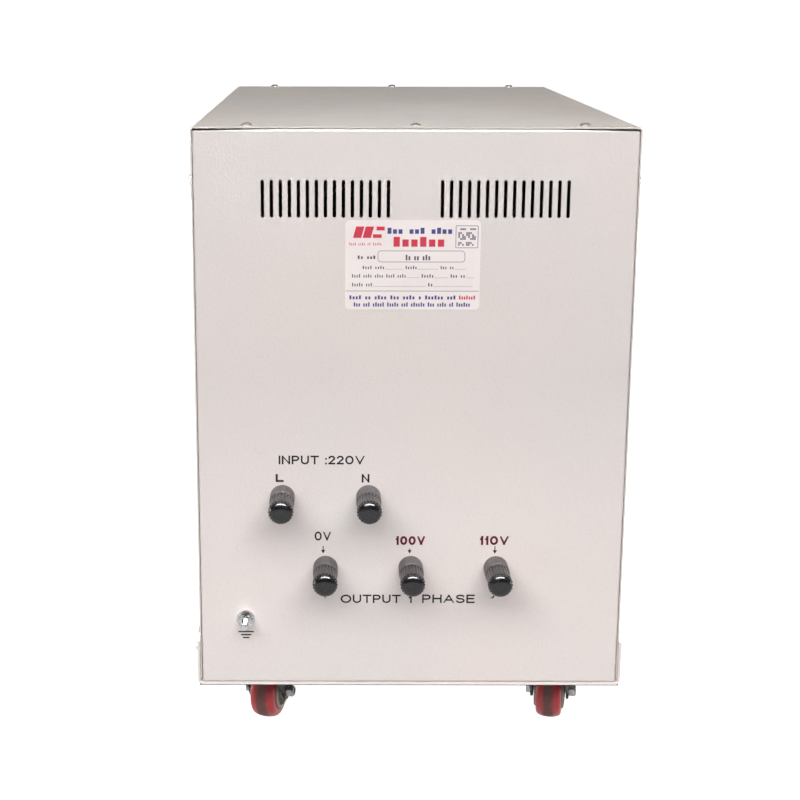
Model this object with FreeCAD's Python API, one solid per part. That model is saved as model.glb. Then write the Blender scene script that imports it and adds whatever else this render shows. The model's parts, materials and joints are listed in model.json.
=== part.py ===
import FreeCAD, Part
import math
import os

"""A single-phase autotransformer in a sheet-steel cabinet on four swivel casters.

Units are millimetres. Every piece is drawn in cabinet coordinates and moved into the row frame as it is
written. In cabinet coordinates x runs across the cabinet, y runs from the outer face of the terminal panel
(y = 0) to the outer face of the control panel (y = CABINET_DEPTH), and z rises from the underside of the
tray (z = 0). In the row frame the floor is z = 0 and the bounding box is centred on x = 0, y = 0.
"""

Vector = FreeCAD.Vector

# ---------------------------------------------------------------- driving dimensions
CABINET_WIDTH = 349.0  # over the cover's two sides
CABINET_DEPTH = 560.0  # over the two panels' faces
CABINET_HEIGHT = 464.0  # underside of the tray to the top of the cover
CASTER_HEIGHT = 70.0  # floor to the underside of the tray

COVER_SHEET = 1.2
PANEL_SHEET = 1.5
TRAY_SHEET = 2.0
SHEET_GAP = 0.2  # between one sheet and the next where they lap
COVER_SETBACK = 1.5  # the cover's ends behind the panels' faces
PANEL_FLANGE = 15.0
PANEL_TOP_GAP = 0.6
TRAY_WALL = 44.0  # height of the tray's side walls
TRAY_BEVEL = 7.0  # at the two upper corners of each wall
CORNER_DROP = 1.5  # fall of a panel's top edge from the middle stretch to each corner
CORNER_DROP_SPAN = 70.0

POST_PITCH = 70.0
POST_RADIUS = 10.0
POST_PROUD = 44.0  # panel face to the tip of a binding post's cap
INPUT_ROW = 165.5
OUTPUT_ROW = 104.5
LAMP_PROUD = 18.0  # panel face to the tip of the pilot lamp

TOROID_OUTER = 140.0
TOROID_INNER = 50.0
TOROID_HEIGHT = 150.0
TOROID_Y = 290.0

# ---------------------------------------------------------------- derived places
X_COVER = CABINET_WIDTH / 2
X_COVER_INNER = X_COVER - COVER_SHEET
X_PANEL = X_COVER_INNER - 0.5
X_TRAY_INNER = X_COVER + SHEET_GAP
X_TRAY = X_TRAY_INNER + TRAY_SHEET
Z_COVER_INNER = CABINET_HEIGHT - COVER_SHEET
Z_PANEL_TOP = Z_COVER_INNER - PANEL_TOP_GAP
Z_PANEL_FOOT = TRAY_SHEET + SHEET_GAP
Y_CONTROL = CABINET_DEPTH
Y_CONTROL_INNER = CABINET_DEPTH - PANEL_SHEET
ROW_SHIFT = Vector(0, (POST_PROUD - CABINET_DEPTH - LAMP_PROUD) / 2, CASTER_HEIGHT)

POSTS = {
    "input_line": (-1.5 * POST_PITCH, INPUT_ROW),
    "input_neutral": (-0.5 * POST_PITCH, INPUT_ROW),
    "output_0v": (-POST_PITCH, OUTPUT_ROW),
    "output_100v": (0.0, OUTPUT_ROW),
    "output_110v": (POST_PITCH, OUTPUT_ROW),
}
EARTH_X, EARTH_Z = -136.0, 59.0
TRAY_EARTH_Y = 120.0  # the tray's own earth bolt, in line with the earth stud

SLOT_PITCH = 7.0
SLOT_WIDTH = 2.8
SLOT_LENGTH = 29.5
SLOT_CENTRE_Z = 408.5
SLOTS_PER_BANK = 15
SLOT_FIRST_X = 21.0  # the slot nearest the middle, in each of the two banks

COVER_SCREW_X = (-131.5, 0.0, 131.5)
COVER_SCREW_INSET = 11.0  # cover screws, behind the panel face that they hold
SIDE_SCREW_Z = 422.0
WALL_SCREW_Z = 30.0
FOOT_SCREW_X = 70.0

METER_X, METER_Z = -45.0, 325.0
METER_SIDE = 72.0
METER_PROUD = 11.0
METER_BARREL = 31.0
LAMP_X, LAMP_Z = 45.0, 325.0
BREAKER_Z = 200.0
BREAKER_WIDTH = 35.6
BREAKER_HEIGHT = 85.0
NOSE_HEIGHT = 45.0
RAIL_Y = 505.0  # the face of the rail's lips, on which the breaker sits
RAIL_POST_X = 36.0

CASTER_X = 127.0
CASTER_INSET = 66.0  # swivel axis behind the panel face
CASTER_TRAIL = 21.5
WHEEL_RADIUS = 25.0
AXLE_Z = WHEEL_RADIUS - CASTER_HEIGHT
CASTER_BOLT_PITCH = 46.0
# name: (x, y, the direction in which the wheel trails, in degrees clockwise from +y seen from above)
CASTERS = {
    "terminal_left": (-CASTER_X, CASTER_INSET, 16.0),
    "terminal_right": (CASTER_X, CASTER_INSET, 12.0),
    "control_left": (-CASTER_X, CABINET_DEPTH - CASTER_INSET, 14.0),
    "control_right": (CASTER_X, CABINET_DEPTH - CASTER_INSET, 17.0),
}

LEAD_RADIUS = 4.0
LEAD_BEND = 20.0
SIGNAL_RADIUS = 1.3
SIGNAL_BEND = 12.0
EARTH_LEAD_RADIUS = 2.0

LEFT, UP, BACK, OUT = (-1, 0, 0), (0, 0, 1), (0, 1, 0), (0, -1, 0)
RIGHT, DOWN = (1, 0, 0), (0, 0, -1)


# ---------------------------------------------------------------- shape helpers
def box(x0, x1, y0, y1, z0, z1):
    return Part.makeBox(x1 - x0, y1 - y0, z1 - z0, Vector(x0, y0, z0))


def rod(start, axis, radius, length):
    return Part.makeCylinder(radius, length, Vector(*start), Vector(*axis))


def ring(start, axis, outer, inner, length):
    return rod(start, axis, outer, length).cut(rod(start, axis, inner, length))


def aim(shape, at, axis):
    """The shape, drawn along +z from the origin, turned to run along axis from the point at."""
    turned = shape.copy()
    turned.Placement = FreeCAD.Placement(Vector(*at), FreeCAD.Rotation(Vector(0, 0, 1), Vector(*axis)))
    return turned


def lathe(outline, angle=360.0):
    """A solid turned about z from (radius, height) points, with an arc where a triple (radius, height, 'arc')
    marks the middle point of one."""
    edges = []
    points = [Vector(p[0], 0, p[1]) for p in outline]
    closed = list(range(len(outline))) + [0]
    i = 0
    while i < len(outline):
        after = closed[i + 1]
        if len(outline[after]) == 3:
            end = closed[after + 1]
            edges.append(Part.Arc(points[i], points[after], points[end]).toShape())
            i += 2
        else:
            edges.append(Part.LineSegment(points[i], points[after]).toShape())
            i += 1
    return Part.Face(Part.Wire(edges)).revolve(Vector(0, 0, 0), Vector(0, 0, 1), angle)


def crown(radius, low, high):
    """The middle point of the arc, centred on the axis, from (radius, low) to the axis at the height high."""
    rise = high - low
    sphere = (radius**2 + rise**2) / (2 * rise)
    half_turn = math.asin(radius / abs(sphere)) / 2
    return abs(sphere) * math.sin(half_turn), high - sphere + sphere * math.cos(half_turn), "arc"


def prism(outline, height):
    """A straight-sided solid on a polygon of (x, y) points."""
    corners = [Vector(x, y, 0) for x, y in outline]
    return Part.Face(Part.makePolygon(corners + corners[:1])).extrude(Vector(0, 0, height))


def rounded(shape, radius, pick):
    """The shape with a fillet on each edge whose middle and direction pass the test."""
    chosen = []
    for edge in shape.Edges:
        middle = edge.valueAt((edge.FirstParameter + edge.LastParameter) / 2)
        direction = edge.tangentAt(edge.FirstParameter)
        if pick(middle, direction):
            chosen.append(edge)
    return shape.makeFillet(radius, chosen)


def fused(shapes):
    return shapes[0].multiFuse(shapes[1:]).removeSplitter()


def hex_blank(across_flats, height):
    """A hexagon with its corners chamfered at both ends, as on a nut."""
    corner = across_flats / math.sqrt(3)
    angles = [math.pi / 3 * i for i in range(6)]
    outline = [(corner * math.cos(angle), corner * math.sin(angle)) for angle in angles]
    bevel = (corner - across_flats / 2) * 0.6
    edge = across_flats / 2 * 1.02
    barrel = lathe([(0, 0), (edge, 0), (corner, bevel), (corner, height - bevel), (edge, height), (0, height)])
    return prism(outline, height).common(barrel)


def hex_nut(across_flats, height, bore):
    return hex_blank(across_flats, height).cut(rod((0, 0, 0), UP, bore, height))


def pan_screw(length):
    """An M4 cross-recess pan-head screw with its head's seat at z = 0 and its shank below."""
    head_radius, head_height, shank_radius = 4.2, 2.8, 1.95
    side = head_height * 0.4
    top = crown(head_radius, side, head_height)
    head = lathe([(0, 0), (head_radius, 0), (head_radius, side), top, (0, head_height)])
    for width, span in ((1.0, 4.4), (4.4, 1.0)):
        head = head.cut(box(-width / 2, width / 2, -span / 2, span / 2, head_height - 1.5, head_height + 1))
    return head.fuse(rod((0, 0, 0), DOWN, shank_radius, length))


def hex_bolt(across_flats, head_height, shank_radius, length):
    """A hexagon-head bolt with its head's seat at z = 0, its head below and its shank above."""
    head = hex_blank(across_flats, head_height)
    head.translate(Vector(0, 0, -head_height))
    outline = [(0, 0), (shank_radius, 0), (shank_radius, length - 1), (shank_radius - 1, length), (0, length)]
    shank = lathe(outline)
    return head.fuse(shank)


def cable(points, radius, bend):
    """A round cable along straight runs, joined by tangent arcs of the radius bend."""
    route = [Vector(*p) for p in points]
    edges = []
    start = route[0]
    for before, corner, after in zip(route, route[1:], route[2:]):
        incoming = (corner - before).normalize()
        outgoing = (after - corner).normalize()
        turn = incoming.getAngle(outgoing)
        reach = bend * math.tan(turn / 2)
        arc_start = corner - incoming * reach
        arc_end = corner + outgoing * reach
        inward = (outgoing - incoming).normalize()
        middle = corner + inward * (bend / math.cos(turn / 2) - bend)
        edges.append(Part.LineSegment(start, arc_start).toShape())
        edges.append(Part.Arc(arc_start, middle, arc_end).toShape())
        start = arc_end
    edges.append(Part.LineSegment(start, route[-1]).toShape())
    section = Part.Wire(Part.makeCircle(radius, route[0], route[1] - route[0]))
    solid = Part.Wire(edges).makePipeShell([section], True, False)
    length = sum(edge.Length for edge in edges)
    expected = math.pi * radius**2 * length
    if abs(solid.Volume / expected - 1) > 0.01:
        raise ValueError(f"a cable's volume is {solid.Volume:.0f} and it should be {expected:.0f}")
    return solid


# ---------------------------------------------------------------- cabinet sheet metal
def tray():
    """The floor plate, bent up along both sides, with the holes for everything that bolts through it."""
    outer = box(-X_TRAY, X_TRAY, 0.3, CABINET_DEPTH - 0.3, 0, TRAY_WALL)
    outer = rounded(outer, 4.0, lambda m, d: abs(d.y) > 0.9 and m.z < 1)
    inner = box(-X_TRAY_INNER, X_TRAY_INNER, -1, CABINET_DEPTH + 1, TRAY_SHEET, TRAY_WALL + 1)
    inner = rounded(inner, 2.0, lambda m, d: abs(d.y) > 0.9 and m.z < TRAY_SHEET + 1)
    tall, near, far = TRAY_WALL + 1, -1, CABINET_DEPTH + 1
    reach = TRAY_BEVEL + 1
    bevels = []
    for y, inward in ((near, 1), (far, -1)):
        corner = [Vector(-X_TRAY - 1, y, tall), Vector(-X_TRAY - 1, y + inward * reach, tall)]
        corner.append(Vector(-X_TRAY - 1, y, tall - reach))
        bevels.append(Part.Face(Part.makePolygon(corner + corner[:1])).extrude(Vector(2 * X_TRAY + 2, 0, 0)))
    holes = bevels + [rod((x, y, -1), UP, 3.3, TRAY_SHEET + 2) for x, y in caster_bolt_places()]
    holes.append(rod((0, TOROID_Y, -1), UP, 6.3, TRAY_SHEET + 2))
    holes.append(rod((EARTH_X, TRAY_EARTH_Y, -1), UP, 3.2, TRAY_SHEET + 2))
    holes += [rod((x, y, -1), UP, 2.2, TRAY_SHEET + 2) for x, y in foot_screw_places()]
    wall_span = 2 * X_TRAY + 2
    holes += [rod((-X_TRAY - 1, y, WALL_SCREW_Z), RIGHT, 2.2, wall_span) for y in wall_screw_ys()]
    return outer.cut(inner).cut(Part.makeCompound(holes))


def cover():
    """The top and both sides, bent from one sheet."""
    start, end = COVER_SETBACK, CABINET_DEPTH - COVER_SETBACK
    foot = TRAY_SHEET + 2.6
    outer = box(-X_COVER, X_COVER, start, end, foot, CABINET_HEIGHT)
    outer = rounded(outer, 3.0, lambda m, d: abs(d.y) > 0.9 and m.z > CABINET_HEIGHT - 1)
    inner = box(-X_COVER_INNER, X_COVER_INNER, start - 1, end + 1, foot - 1, Z_COVER_INNER)
    inner = rounded(inner, 1.8, lambda m, d: abs(d.y) > 0.9 and m.z > Z_COVER_INNER - 1)
    holes = [rod((x, y, Z_COVER_INNER - 1), UP, 2.2, 4) for x in COVER_SCREW_X for y in end_screw_ys()]
    span = 2 * X_COVER + 2
    holes += [rod((-X_COVER - 1, y, SIDE_SCREW_Z), RIGHT, 2.2, span) for y in end_screw_ys()]
    holes += [rod((-X_COVER - 1, y, WALL_SCREW_Z), RIGHT, 2.2, span) for y in wall_screw_ys()]
    return outer.cut(inner).cut(Part.makeCompound(holes))


def panel_blank():
    """A panel at the terminal end: a face with a flange bent back along each edge, and its screw holes."""
    outer = box(-X_PANEL, X_PANEL, 0, PANEL_FLANGE, Z_PANEL_FOOT, Z_PANEL_TOP)
    outer = rounded(outer, 2.0, lambda m, d: m.y < 0.01 and abs(d.y) < 0.1)
    inside = PANEL_SHEET
    inner = box(
        -X_PANEL + inside,
        X_PANEL - inside,
        inside,
        PANEL_FLANGE + 1,
        Z_PANEL_FOOT + inside,
        Z_PANEL_TOP - inside,
    )
    holes = [rod((x, COVER_SCREW_INSET, Z_PANEL_TOP - 3), UP, 2.2, 6) for x in COVER_SCREW_X]
    span = 2 * X_PANEL + 2
    for z in (SIDE_SCREW_Z, WALL_SCREW_Z):
        holes.append(rod((-X_PANEL - 1, COVER_SCREW_INSET, z), RIGHT, 2.2, span))
    for x in (-FOOT_SCREW_X, FOOT_SCREW_X):
        holes.append(rod((x, COVER_SCREW_INSET, 0), UP, 2.2, 6))
    return outer.cut(inner).cut(Part.makeCompound(holes + vent_slots() + corner_drops()))


def corner_drops():
    """Two long thin wedges off the top of a panel's flange and face, which open its gap at the corners."""
    wedges = []
    for side in (-1, 1):
        start = side * (X_PANEL - CORNER_DROP_SPAN)
        end = side * (X_PANEL + 1)
        over = Z_PANEL_TOP + 2
        points = [(start, Z_PANEL_TOP), (end, Z_PANEL_TOP - CORNER_DROP), (end, over), (start, over)]
        corners = [Vector(x, -1, z) for x, z in points]
        wedge = Part.Face(Part.makePolygon(corners + corners[:1])).extrude(Vector(0, PANEL_FLANGE + 2, 0))
        wedges.append(wedge)
    return wedges


def vent_slots():
    """Two banks of upright slots with round ends."""
    slots = []
    reach = (SLOT_LENGTH - SLOT_WIDTH) / 2
    for side in (-1, 1):
        for i in range(SLOTS_PER_BANK):
            x = side * (SLOT_FIRST_X + i * SLOT_PITCH)
            low, high = SLOT_CENTRE_Z - reach, SLOT_CENTRE_Z + reach
            middle = box(x - SLOT_WIDTH / 2, x + SLOT_WIDTH / 2, -1, 3, low, high)
            ends = [rod((x, -1, z), BACK, SLOT_WIDTH / 2, 4) for z in (low, high)]
            slots.append(fused([middle] + ends))
    return slots


def terminal_panel():
    holes = [rod((x, -1, z), BACK, 6.2, 4) for x, z in POSTS.values()]
    holes.append(rod((EARTH_X, -1, EARTH_Z), BACK, 3.2, 4))
    return panel_blank().cut(Part.makeCompound(holes))


def control_panel():
    """The same blank, turned to face the other way, with the openings for its instruments."""
    blank = panel_blank()
    blank.rotate(Vector(0, CABINET_DEPTH / 2, 0), Vector(0, 0, 1), 180)
    y = Y_CONTROL_INNER - 1
    half_nose = NOSE_HEIGHT / 2 + 0.6
    half_width = BREAKER_WIDTH / 2 + 0.6
    openings = [
        rod((METER_X, y, METER_Z), BACK, METER_BARREL + 0.6, 4),
        rod((LAMP_X, y, LAMP_Z), BACK, 11.2, 4),
        box(-half_width, half_width, y, y + 4, BREAKER_Z - half_nose, BREAKER_Z + half_nose),
    ]
    openings += [rod((x, y, BREAKER_Z), BACK, 2.2, 4) for x in (-RAIL_POST_X, RAIL_POST_X)]
    return blank.cut(Part.makeCompound(openings))


# ---------------------------------------------------------------- where the fasteners go
def end_screw_ys():
    return COVER_SCREW_INSET, CABINET_DEPTH - COVER_SCREW_INSET


def wall_screw_ys():
    return COVER_SCREW_INSET, CABINET_DEPTH / 2, CABINET_DEPTH - COVER_SCREW_INSET


def foot_screw_places():
    return [(x, y) for x in (-FOOT_SCREW_X, FOOT_SCREW_X) for y in end_screw_ys()]


def caster_bolt_places():
    half = CASTER_BOLT_PITCH / 2
    return [(x + i * half, y + j * half) for x, y, _ in CASTERS.values() for i in (-1, 1) for j in (-1, 1)]


def cabinet_screws():
    """Every M4 screw: through the cover, the tray's walls and floor, and the posts behind the breaker."""
    screws = []
    for y in end_screw_ys():
        screws += [aim(pan_screw(8), (x, y, CABINET_HEIGHT), UP) for x in COVER_SCREW_X]
        screws.append(aim(pan_screw(8), (-X_COVER, y, SIDE_SCREW_Z), LEFT))
        screws.append(aim(pan_screw(8), (X_COVER, y, SIDE_SCREW_Z), RIGHT))
    for y in wall_screw_ys():
        screws.append(aim(pan_screw(8), (-X_TRAY, y, WALL_SCREW_Z), LEFT))
        screws.append(aim(pan_screw(8), (X_TRAY, y, WALL_SCREW_Z), RIGHT))
    screws += [aim(pan_screw(8), (x, y, 0), DOWN) for x, y in foot_screw_places()]
    for x in (-RAIL_POST_X, RAIL_POST_X):
        screws.append(aim(pan_screw(8), (x, Y_CONTROL, BREAKER_Z), BACK))
        screws.append(aim(pan_screw(8), (x, RAIL_Y - 7.5, BREAKER_Z), OUT))
    return screws


# ---------------------------------------------------------------- transformer
PAD_FOOT = TRAY_SHEET
TOROID_FOOT = PAD_FOOT + 5.0
TOROID_TOP = TOROID_FOOT + TOROID_HEIGHT
WALL = 15.0  # thickness of the winding round the core
GAP_DEGREES = 22.0  # the gap between the winding's first and last turns
UPPER_PAD = 4.0
PAD_BORE = 42.0
DISH_SHEET = 3.0


def about_bolt(shape):
    shape.translate(Vector(0, TOROID_Y, 0))
    return shape


def core():
    """A ring of wound steel strip."""
    foot, top = TOROID_FOOT + WALL + 0.3, TOROID_TOP - WALL - 0.3
    inner, outer = TOROID_INNER + WALL + 0.3, TOROID_OUTER - WALL - 0.3
    bevel = 1.5
    outline = [
        (inner + bevel, foot),
        (outer - bevel, foot),
        (outer, foot + bevel),
        (outer, top - bevel),
        (outer - bevel, top),
        (inner + bevel, top),
        (inner, top - bevel),
        (inner, foot + bevel),
    ]
    return about_bolt(lathe(outline))


def winding():
    """The copper winding round the core: a tube of rounded section, open at the gap between its ends."""
    radius = 11.0
    k = radius * (1 - math.sqrt(0.5))
    low, high = TOROID_FOOT, TOROID_TOP
    near, far = TOROID_INNER, TOROID_OUTER
    skin = [
        (near + radius, low),
        (far - radius, low),
        (far - k, low + k, "arc"),
        (far, low + radius),
        (far, high - radius),
        (far - k, high - k, "arc"),
        (far - radius, high),
        (near + radius, high),
        (near + k, high - k, "arc"),
        (near, high - radius),
        (near, low + radius),
        (near + k, low + k, "arc"),
    ]
    r0, r1, z0, z1 = near + WALL, far - WALL, low + WALL, high - WALL
    hollow = [(r0, z0), (r1, z0), (r1, z1), (r0, z1)]
    sweep = 360.0 - GAP_DEGREES
    solid = lathe(skin, sweep).cut(lathe(hollow, sweep))
    solid.rotate(Vector(0, 0, 0), Vector(0, 0, 1), GAP_DEGREES / 2)
    return about_bolt(solid)


def core_pads():
    lower = ring((0, 0, PAD_FOOT), UP, TOROID_OUTER - 6, 7.0, TOROID_FOOT - PAD_FOOT)
    upper = ring((0, 0, TOROID_TOP), UP, TOROID_INNER + 20, PAD_BORE, UPPER_PAD)
    return [about_bolt(lower), about_bolt(upper)]


DISH_RIM = TOROID_TOP + UPPER_PAD
DISH_FLOOR = DISH_RIM - 11.0


def clamp_dish():
    """The pressed steel dish that holds the winding down, its middle sunk into the bore."""
    t = DISH_SHEET
    bolt_hole, well, throat, edge = 6.5, PAD_BORE - 17.0, PAD_BORE - 1.0, TOROID_INNER + 18.0
    outline = [
        (bolt_hole, DISH_FLOOR),
        (well, DISH_FLOOR),
        (throat, DISH_RIM),
        (edge, DISH_RIM),
        (edge, DISH_RIM + t),
        (throat - t / 2, DISH_RIM + t),
        (well - t / 2, DISH_FLOOR + t),
        (bolt_hole, DISH_FLOOR + t),
    ]
    return about_bolt(lathe(outline))


def centre_bolt():
    """An M12 bolt from under the tray, with its washer and nut on the dish."""
    seat = DISH_FLOOR + DISH_SHEET
    bolt = hex_bolt(19, 7.5, 6.0, seat + 2.5 + 10.8 + 8)
    washer = ring((0, 0, seat), UP, 12.0, 6.4, 2.5)
    nut = hex_nut(19, 10.8, 6.05)
    nut.translate(Vector(0, 0, seat + 2.5))
    return [about_bolt(bolt), about_bolt(washer), about_bolt(nut)]


# ---------------------------------------------------------------- binding posts
COLLAR_LENGTH = 17.5
CAP_GAP = 0.6  # between the collar and the cap screwed home
STUD_RADIUS = 4.0
STUD_FRONT = -37.5
STUD_REAR = 23.0
REAR_INSULATOR = 3.0
POST_NUT = 5.0
LUG_SHEET = 1.6
LUG_Y = PANEL_SHEET + REAR_INSULATOR + POST_NUT  # the near face of a post's lug
LUG_BARREL = 4.6
LUG_REACH = 26.0  # post axis to the far end of its lug
INSERT_FRONT, INSERT_REAR = -36.0, -20.5
INSERT_RADIUS = 5.6
KNURLS = 22


def post_collar(x, z):
    """The insulating collar on the panel's face, with a spigot through the panel and a rim round its front."""
    outline = [
        (STUD_RADIUS + 0.1, -PANEL_SHEET),
        (6.0, -PANEL_SHEET),
        (6.0, 0.0),
        (POST_RADIUS, 0.0),
        (POST_RADIUS, COLLAR_LENGTH - 0.8),
        (POST_RADIUS - 0.23, COLLAR_LENGTH - 0.23, "arc"),
        (POST_RADIUS - 0.8, COLLAR_LENGTH),
        (7.4, COLLAR_LENGTH),
        (7.4, COLLAR_LENGTH - 1.2),
        (STUD_RADIUS + 0.1, COLLAR_LENGTH - 1.2),
    ]
    return aim(lathe(outline), (x, 0, z), OUT)


def rear_insulator(x, z):
    return ring((x, PANEL_SHEET, z), BACK, 9.0, STUD_RADIUS + 0.1, REAR_INSULATOR)


def post_stud(x, z):
    """A brass stud, cross-drilled for a bare wire just in front of its collar."""
    length = STUD_REAR - STUD_FRONT
    bevel = 0.8
    outline = [
        (0, 0),
        (STUD_RADIUS - bevel, 0),
        (STUD_RADIUS, bevel),
        (STUD_RADIUS, length - bevel),
        (STUD_RADIUS - bevel, length),
        (0, length),
    ]
    stud = aim(lathe(outline), (x, STUD_REAR, z), OUT)
    return stud.cut(rod((x - 6, -COLLAR_LENGTH - 1.4, z), RIGHT, 1.6, 12))


def post_nuts(x, z):
    nuts = []
    for y in (LUG_Y - POST_NUT, LUG_Y + LUG_SHEET):
        nuts.append(aim(hex_nut(13, POST_NUT, STUD_RADIUS + 0.05), (x, y, z), BACK))
    return nuts


def post_cap(x, z):
    """A tapered, ribbed cap with a domed end, bored for its threaded insert."""
    near, far = COLLAR_LENGTH + CAP_GAP, POST_PROUD
    rim = 39.0  # distance out from the panel at which the ribs end
    dome_radius = 8.9
    outline = [
        (0, near),
        (8.2, near),
        (8.9, near + 1.0),
        (9.15, near + 2.6),
        (POST_RADIUS, rim - 2.2),
        (POST_RADIUS - 0.25, rim - 0.6, "arc"),
        (POST_RADIUS - 0.9, rim),
        (dome_radius, rim),
        crown(dome_radius, rim, far),
        (0, far),
    ]
    body = lathe(outline)
    for i in range(KNURLS):
        angle = 2 * math.pi * (i + 0.5) / KNURLS
        spot = ((POST_RADIUS + 0.35) * math.cos(angle), (POST_RADIUS + 0.35) * math.sin(angle), near + 2.8)
        body = body.cut(rod(spot, UP, 0.8, rim - near))
    body = body.cut(rod((0, 0, near - 1), UP, INSERT_RADIUS + 0.05, -INSERT_FRONT + 0.1 - near + 1))
    body = body.cut(rod((0, 0, near), UP, STUD_RADIUS + 0.4, -STUD_FRONT + 0.6 - near))
    return aim(body, (x, 0, z), OUT)


def cap_insert(x, z):
    """The round brass bush inside a cap. It runs on the stud's thread."""
    return ring((x, INSERT_REAR, z), OUT, INSERT_RADIUS, STUD_RADIUS + 0.06, INSERT_REAR - INSERT_FRONT)


def ring_lug(eye, start, end, barrel, sheet):
    """A crimp lug lying on the plane z = 0 with its eye about the origin and its barrel along +y."""
    palm = rod((0, 0, 0), UP, eye * 1.95, sheet)
    neck = box(-barrel * 0.8, barrel * 0.8, 0, start + 1, 0, sheet)
    crimp = rod((0, start, barrel), BACK, barrel, end - start)
    return fused([palm, neck, crimp]).cut(rod((0, 0, -1), UP, eye, sheet + 2))


def place_lug(lug, at, x_axis, y_axis):
    """Moves a lug so that its eye is at the point at, its palm's normal is x_axis cross y_axis."""
    x, y = Vector(*x_axis), Vector(*y_axis)
    n = x.cross(y)
    matrix = FreeCAD.Matrix(x.x, y.x, n.x, at[0], x.y, y.y, n.y, at[1], x.z, y.z, n.z, at[2], 0, 0, 0, 1)
    return lug.transformed(matrix)


def ring_lugs():
    """A lug behind each post, with its barrel up, and one at each end of the earth lead."""
    lugs = []
    for x, z in POSTS.values():
        lug = ring_lug(STUD_RADIUS + 0.1, 12.0, LUG_REACH, LUG_BARREL, LUG_SHEET)
        lugs.append(place_lug(lug, (x, LUG_Y, z), LEFT, UP))
    small = ring_lug(3.1, 9.0, 18.0, 2.5, EARTH_LUG_SHEET)
    lugs.append(place_lug(small, (EARTH_X, PANEL_SHEET, EARTH_Z), RIGHT, DOWN))
    lugs.append(place_lug(small, (EARTH_X, TRAY_EARTH_Y, TRAY_LUG_Z), LEFT, OUT))
    return lugs


# ---------------------------------------------------------------- earthing
EARTH_STUD_RADIUS = 3.0
EARTH_SHANK_RADIUS = 2.45
EARTH_STUD_TIP = -18.0
EARTH_WASHER = 1.4
EARTH_NUT = 5.0
EARTH_FREE_Y = -(EARTH_WASHER + EARTH_NUT + 0.2)  # where the stud's free thread begins, just clear of its nut
EARTH_LUG_SHEET = 1.2
TRAY_LUG_Z = TRAY_SHEET + EARTH_NUT


def earth_studs():
    """The M6 earth stud through the terminal panel, and the bolt that bonds its lead to the tray."""
    head_y = PANEL_SHEET + EARTH_LUG_SHEET
    shank = aim(hex_bolt(10, 4, EARTH_SHANK_RADIUS, head_y - EARTH_STUD_TIP), (EARTH_X, head_y, EARTH_Z), OUT)
    length = EARTH_FREE_Y - EARTH_STUD_TIP
    outline = [(0, 0), (EARTH_STUD_RADIUS, 0), (EARTH_STUD_RADIUS, length - 1), (EARTH_STUD_RADIUS - 1, length)]
    thread = aim(lathe(outline + [(0, length)]), (EARTH_X, EARTH_FREE_Y, EARTH_Z), OUT)
    outer = shank.fuse(thread)
    inner = aim(hex_bolt(10, 4, EARTH_STUD_RADIUS, 18), (EARTH_X, TRAY_EARTH_Y, 0), UP)
    return [outer, inner]


def earth_nuts():
    bore = EARTH_STUD_RADIUS + 0.05
    washer = ring((EARTH_X, 0, EARTH_Z), OUT, 7.5, bore, EARTH_WASHER)
    outer = aim(hex_nut(10, EARTH_NUT, bore), (EARTH_X, -EARTH_WASHER, EARTH_Z), OUT)
    heights = (TRAY_SHEET, TRAY_LUG_Z + EARTH_LUG_SHEET)
    inner = [aim(hex_nut(10, EARTH_NUT, bore), (EARTH_X, TRAY_EARTH_Y, z), UP) for z in heights]
    return [washer, outer] + inner


# ---------------------------------------------------------------- wiring
LUG_LINE_Y = LUG_Y + LUG_BARREL  # the axis of a post lug's barrel
BREAKER_LEAD_Y = RAIL_Y + 22.0
POLE_X = 9.0
BUS_Z = 272.0  # height of the input leads over the transformer
TAP_Z = 225.0
TAP_Y = 200.0
JOINT_GAP = 0.3  # a lead's cut end to the face it meets


def power_leads():
    """Both input leads to the breaker, both from the breaker to the winding, and the three tap leads."""
    line_x, line_z = POSTS["input_line"]
    neutral_x, neutral_z = POSTS["input_neutral"]
    top = BREAKER_Z + BREAKER_HEIGHT / 2 + JOINT_GAP
    foot = BREAKER_Z - BREAKER_HEIGHT / 2 - JOINT_GAP
    routes = [
        [
            (line_x, LUG_LINE_Y, line_z + LUG_REACH + JOINT_GAP),
            (line_x, LUG_LINE_Y, BUS_Z),
            (line_x, BREAKER_LEAD_Y, BUS_Z),
            (-POLE_X, BREAKER_LEAD_Y, BUS_Z),
            (-POLE_X, BREAKER_LEAD_Y, top),
        ],
        [
            (neutral_x, LUG_LINE_Y, neutral_z + LUG_REACH + JOINT_GAP),
            (neutral_x, LUG_LINE_Y, BUS_Z),
            (neutral_x, 60.0, BUS_Z),
            (POLE_X, 470.0, BUS_Z),
            (POLE_X, BREAKER_LEAD_Y, BUS_Z),
            (POLE_X, BREAKER_LEAD_Y, top),
        ],
    ]
    winding_y = TOROID_Y + math.sqrt((TOROID_OUTER + JOINT_GAP) ** 2 - (POLE_X - LEAD_RADIUS) ** 2)
    for x in (-POLE_X, POLE_X):
        routes.append([(x, BREAKER_LEAD_Y, foot), (x, BREAKER_LEAD_Y, 100.0), (x, winding_y, 100.0)])
    for name in ("output_0v", "output_100v", "output_110v"):
        x, z = POSTS[name]
        routes.append(
            [
                (x, LUG_LINE_Y, z + LUG_REACH + JOINT_GAP),
                (x, LUG_LINE_Y, TAP_Z),
                (x, TAP_Y, TAP_Z),
                (x, TAP_Y, TOROID_TOP + JOINT_GAP),
            ]
        )
    return [cable(route, LEAD_RADIUS, LEAD_BEND) for route in routes]


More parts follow.
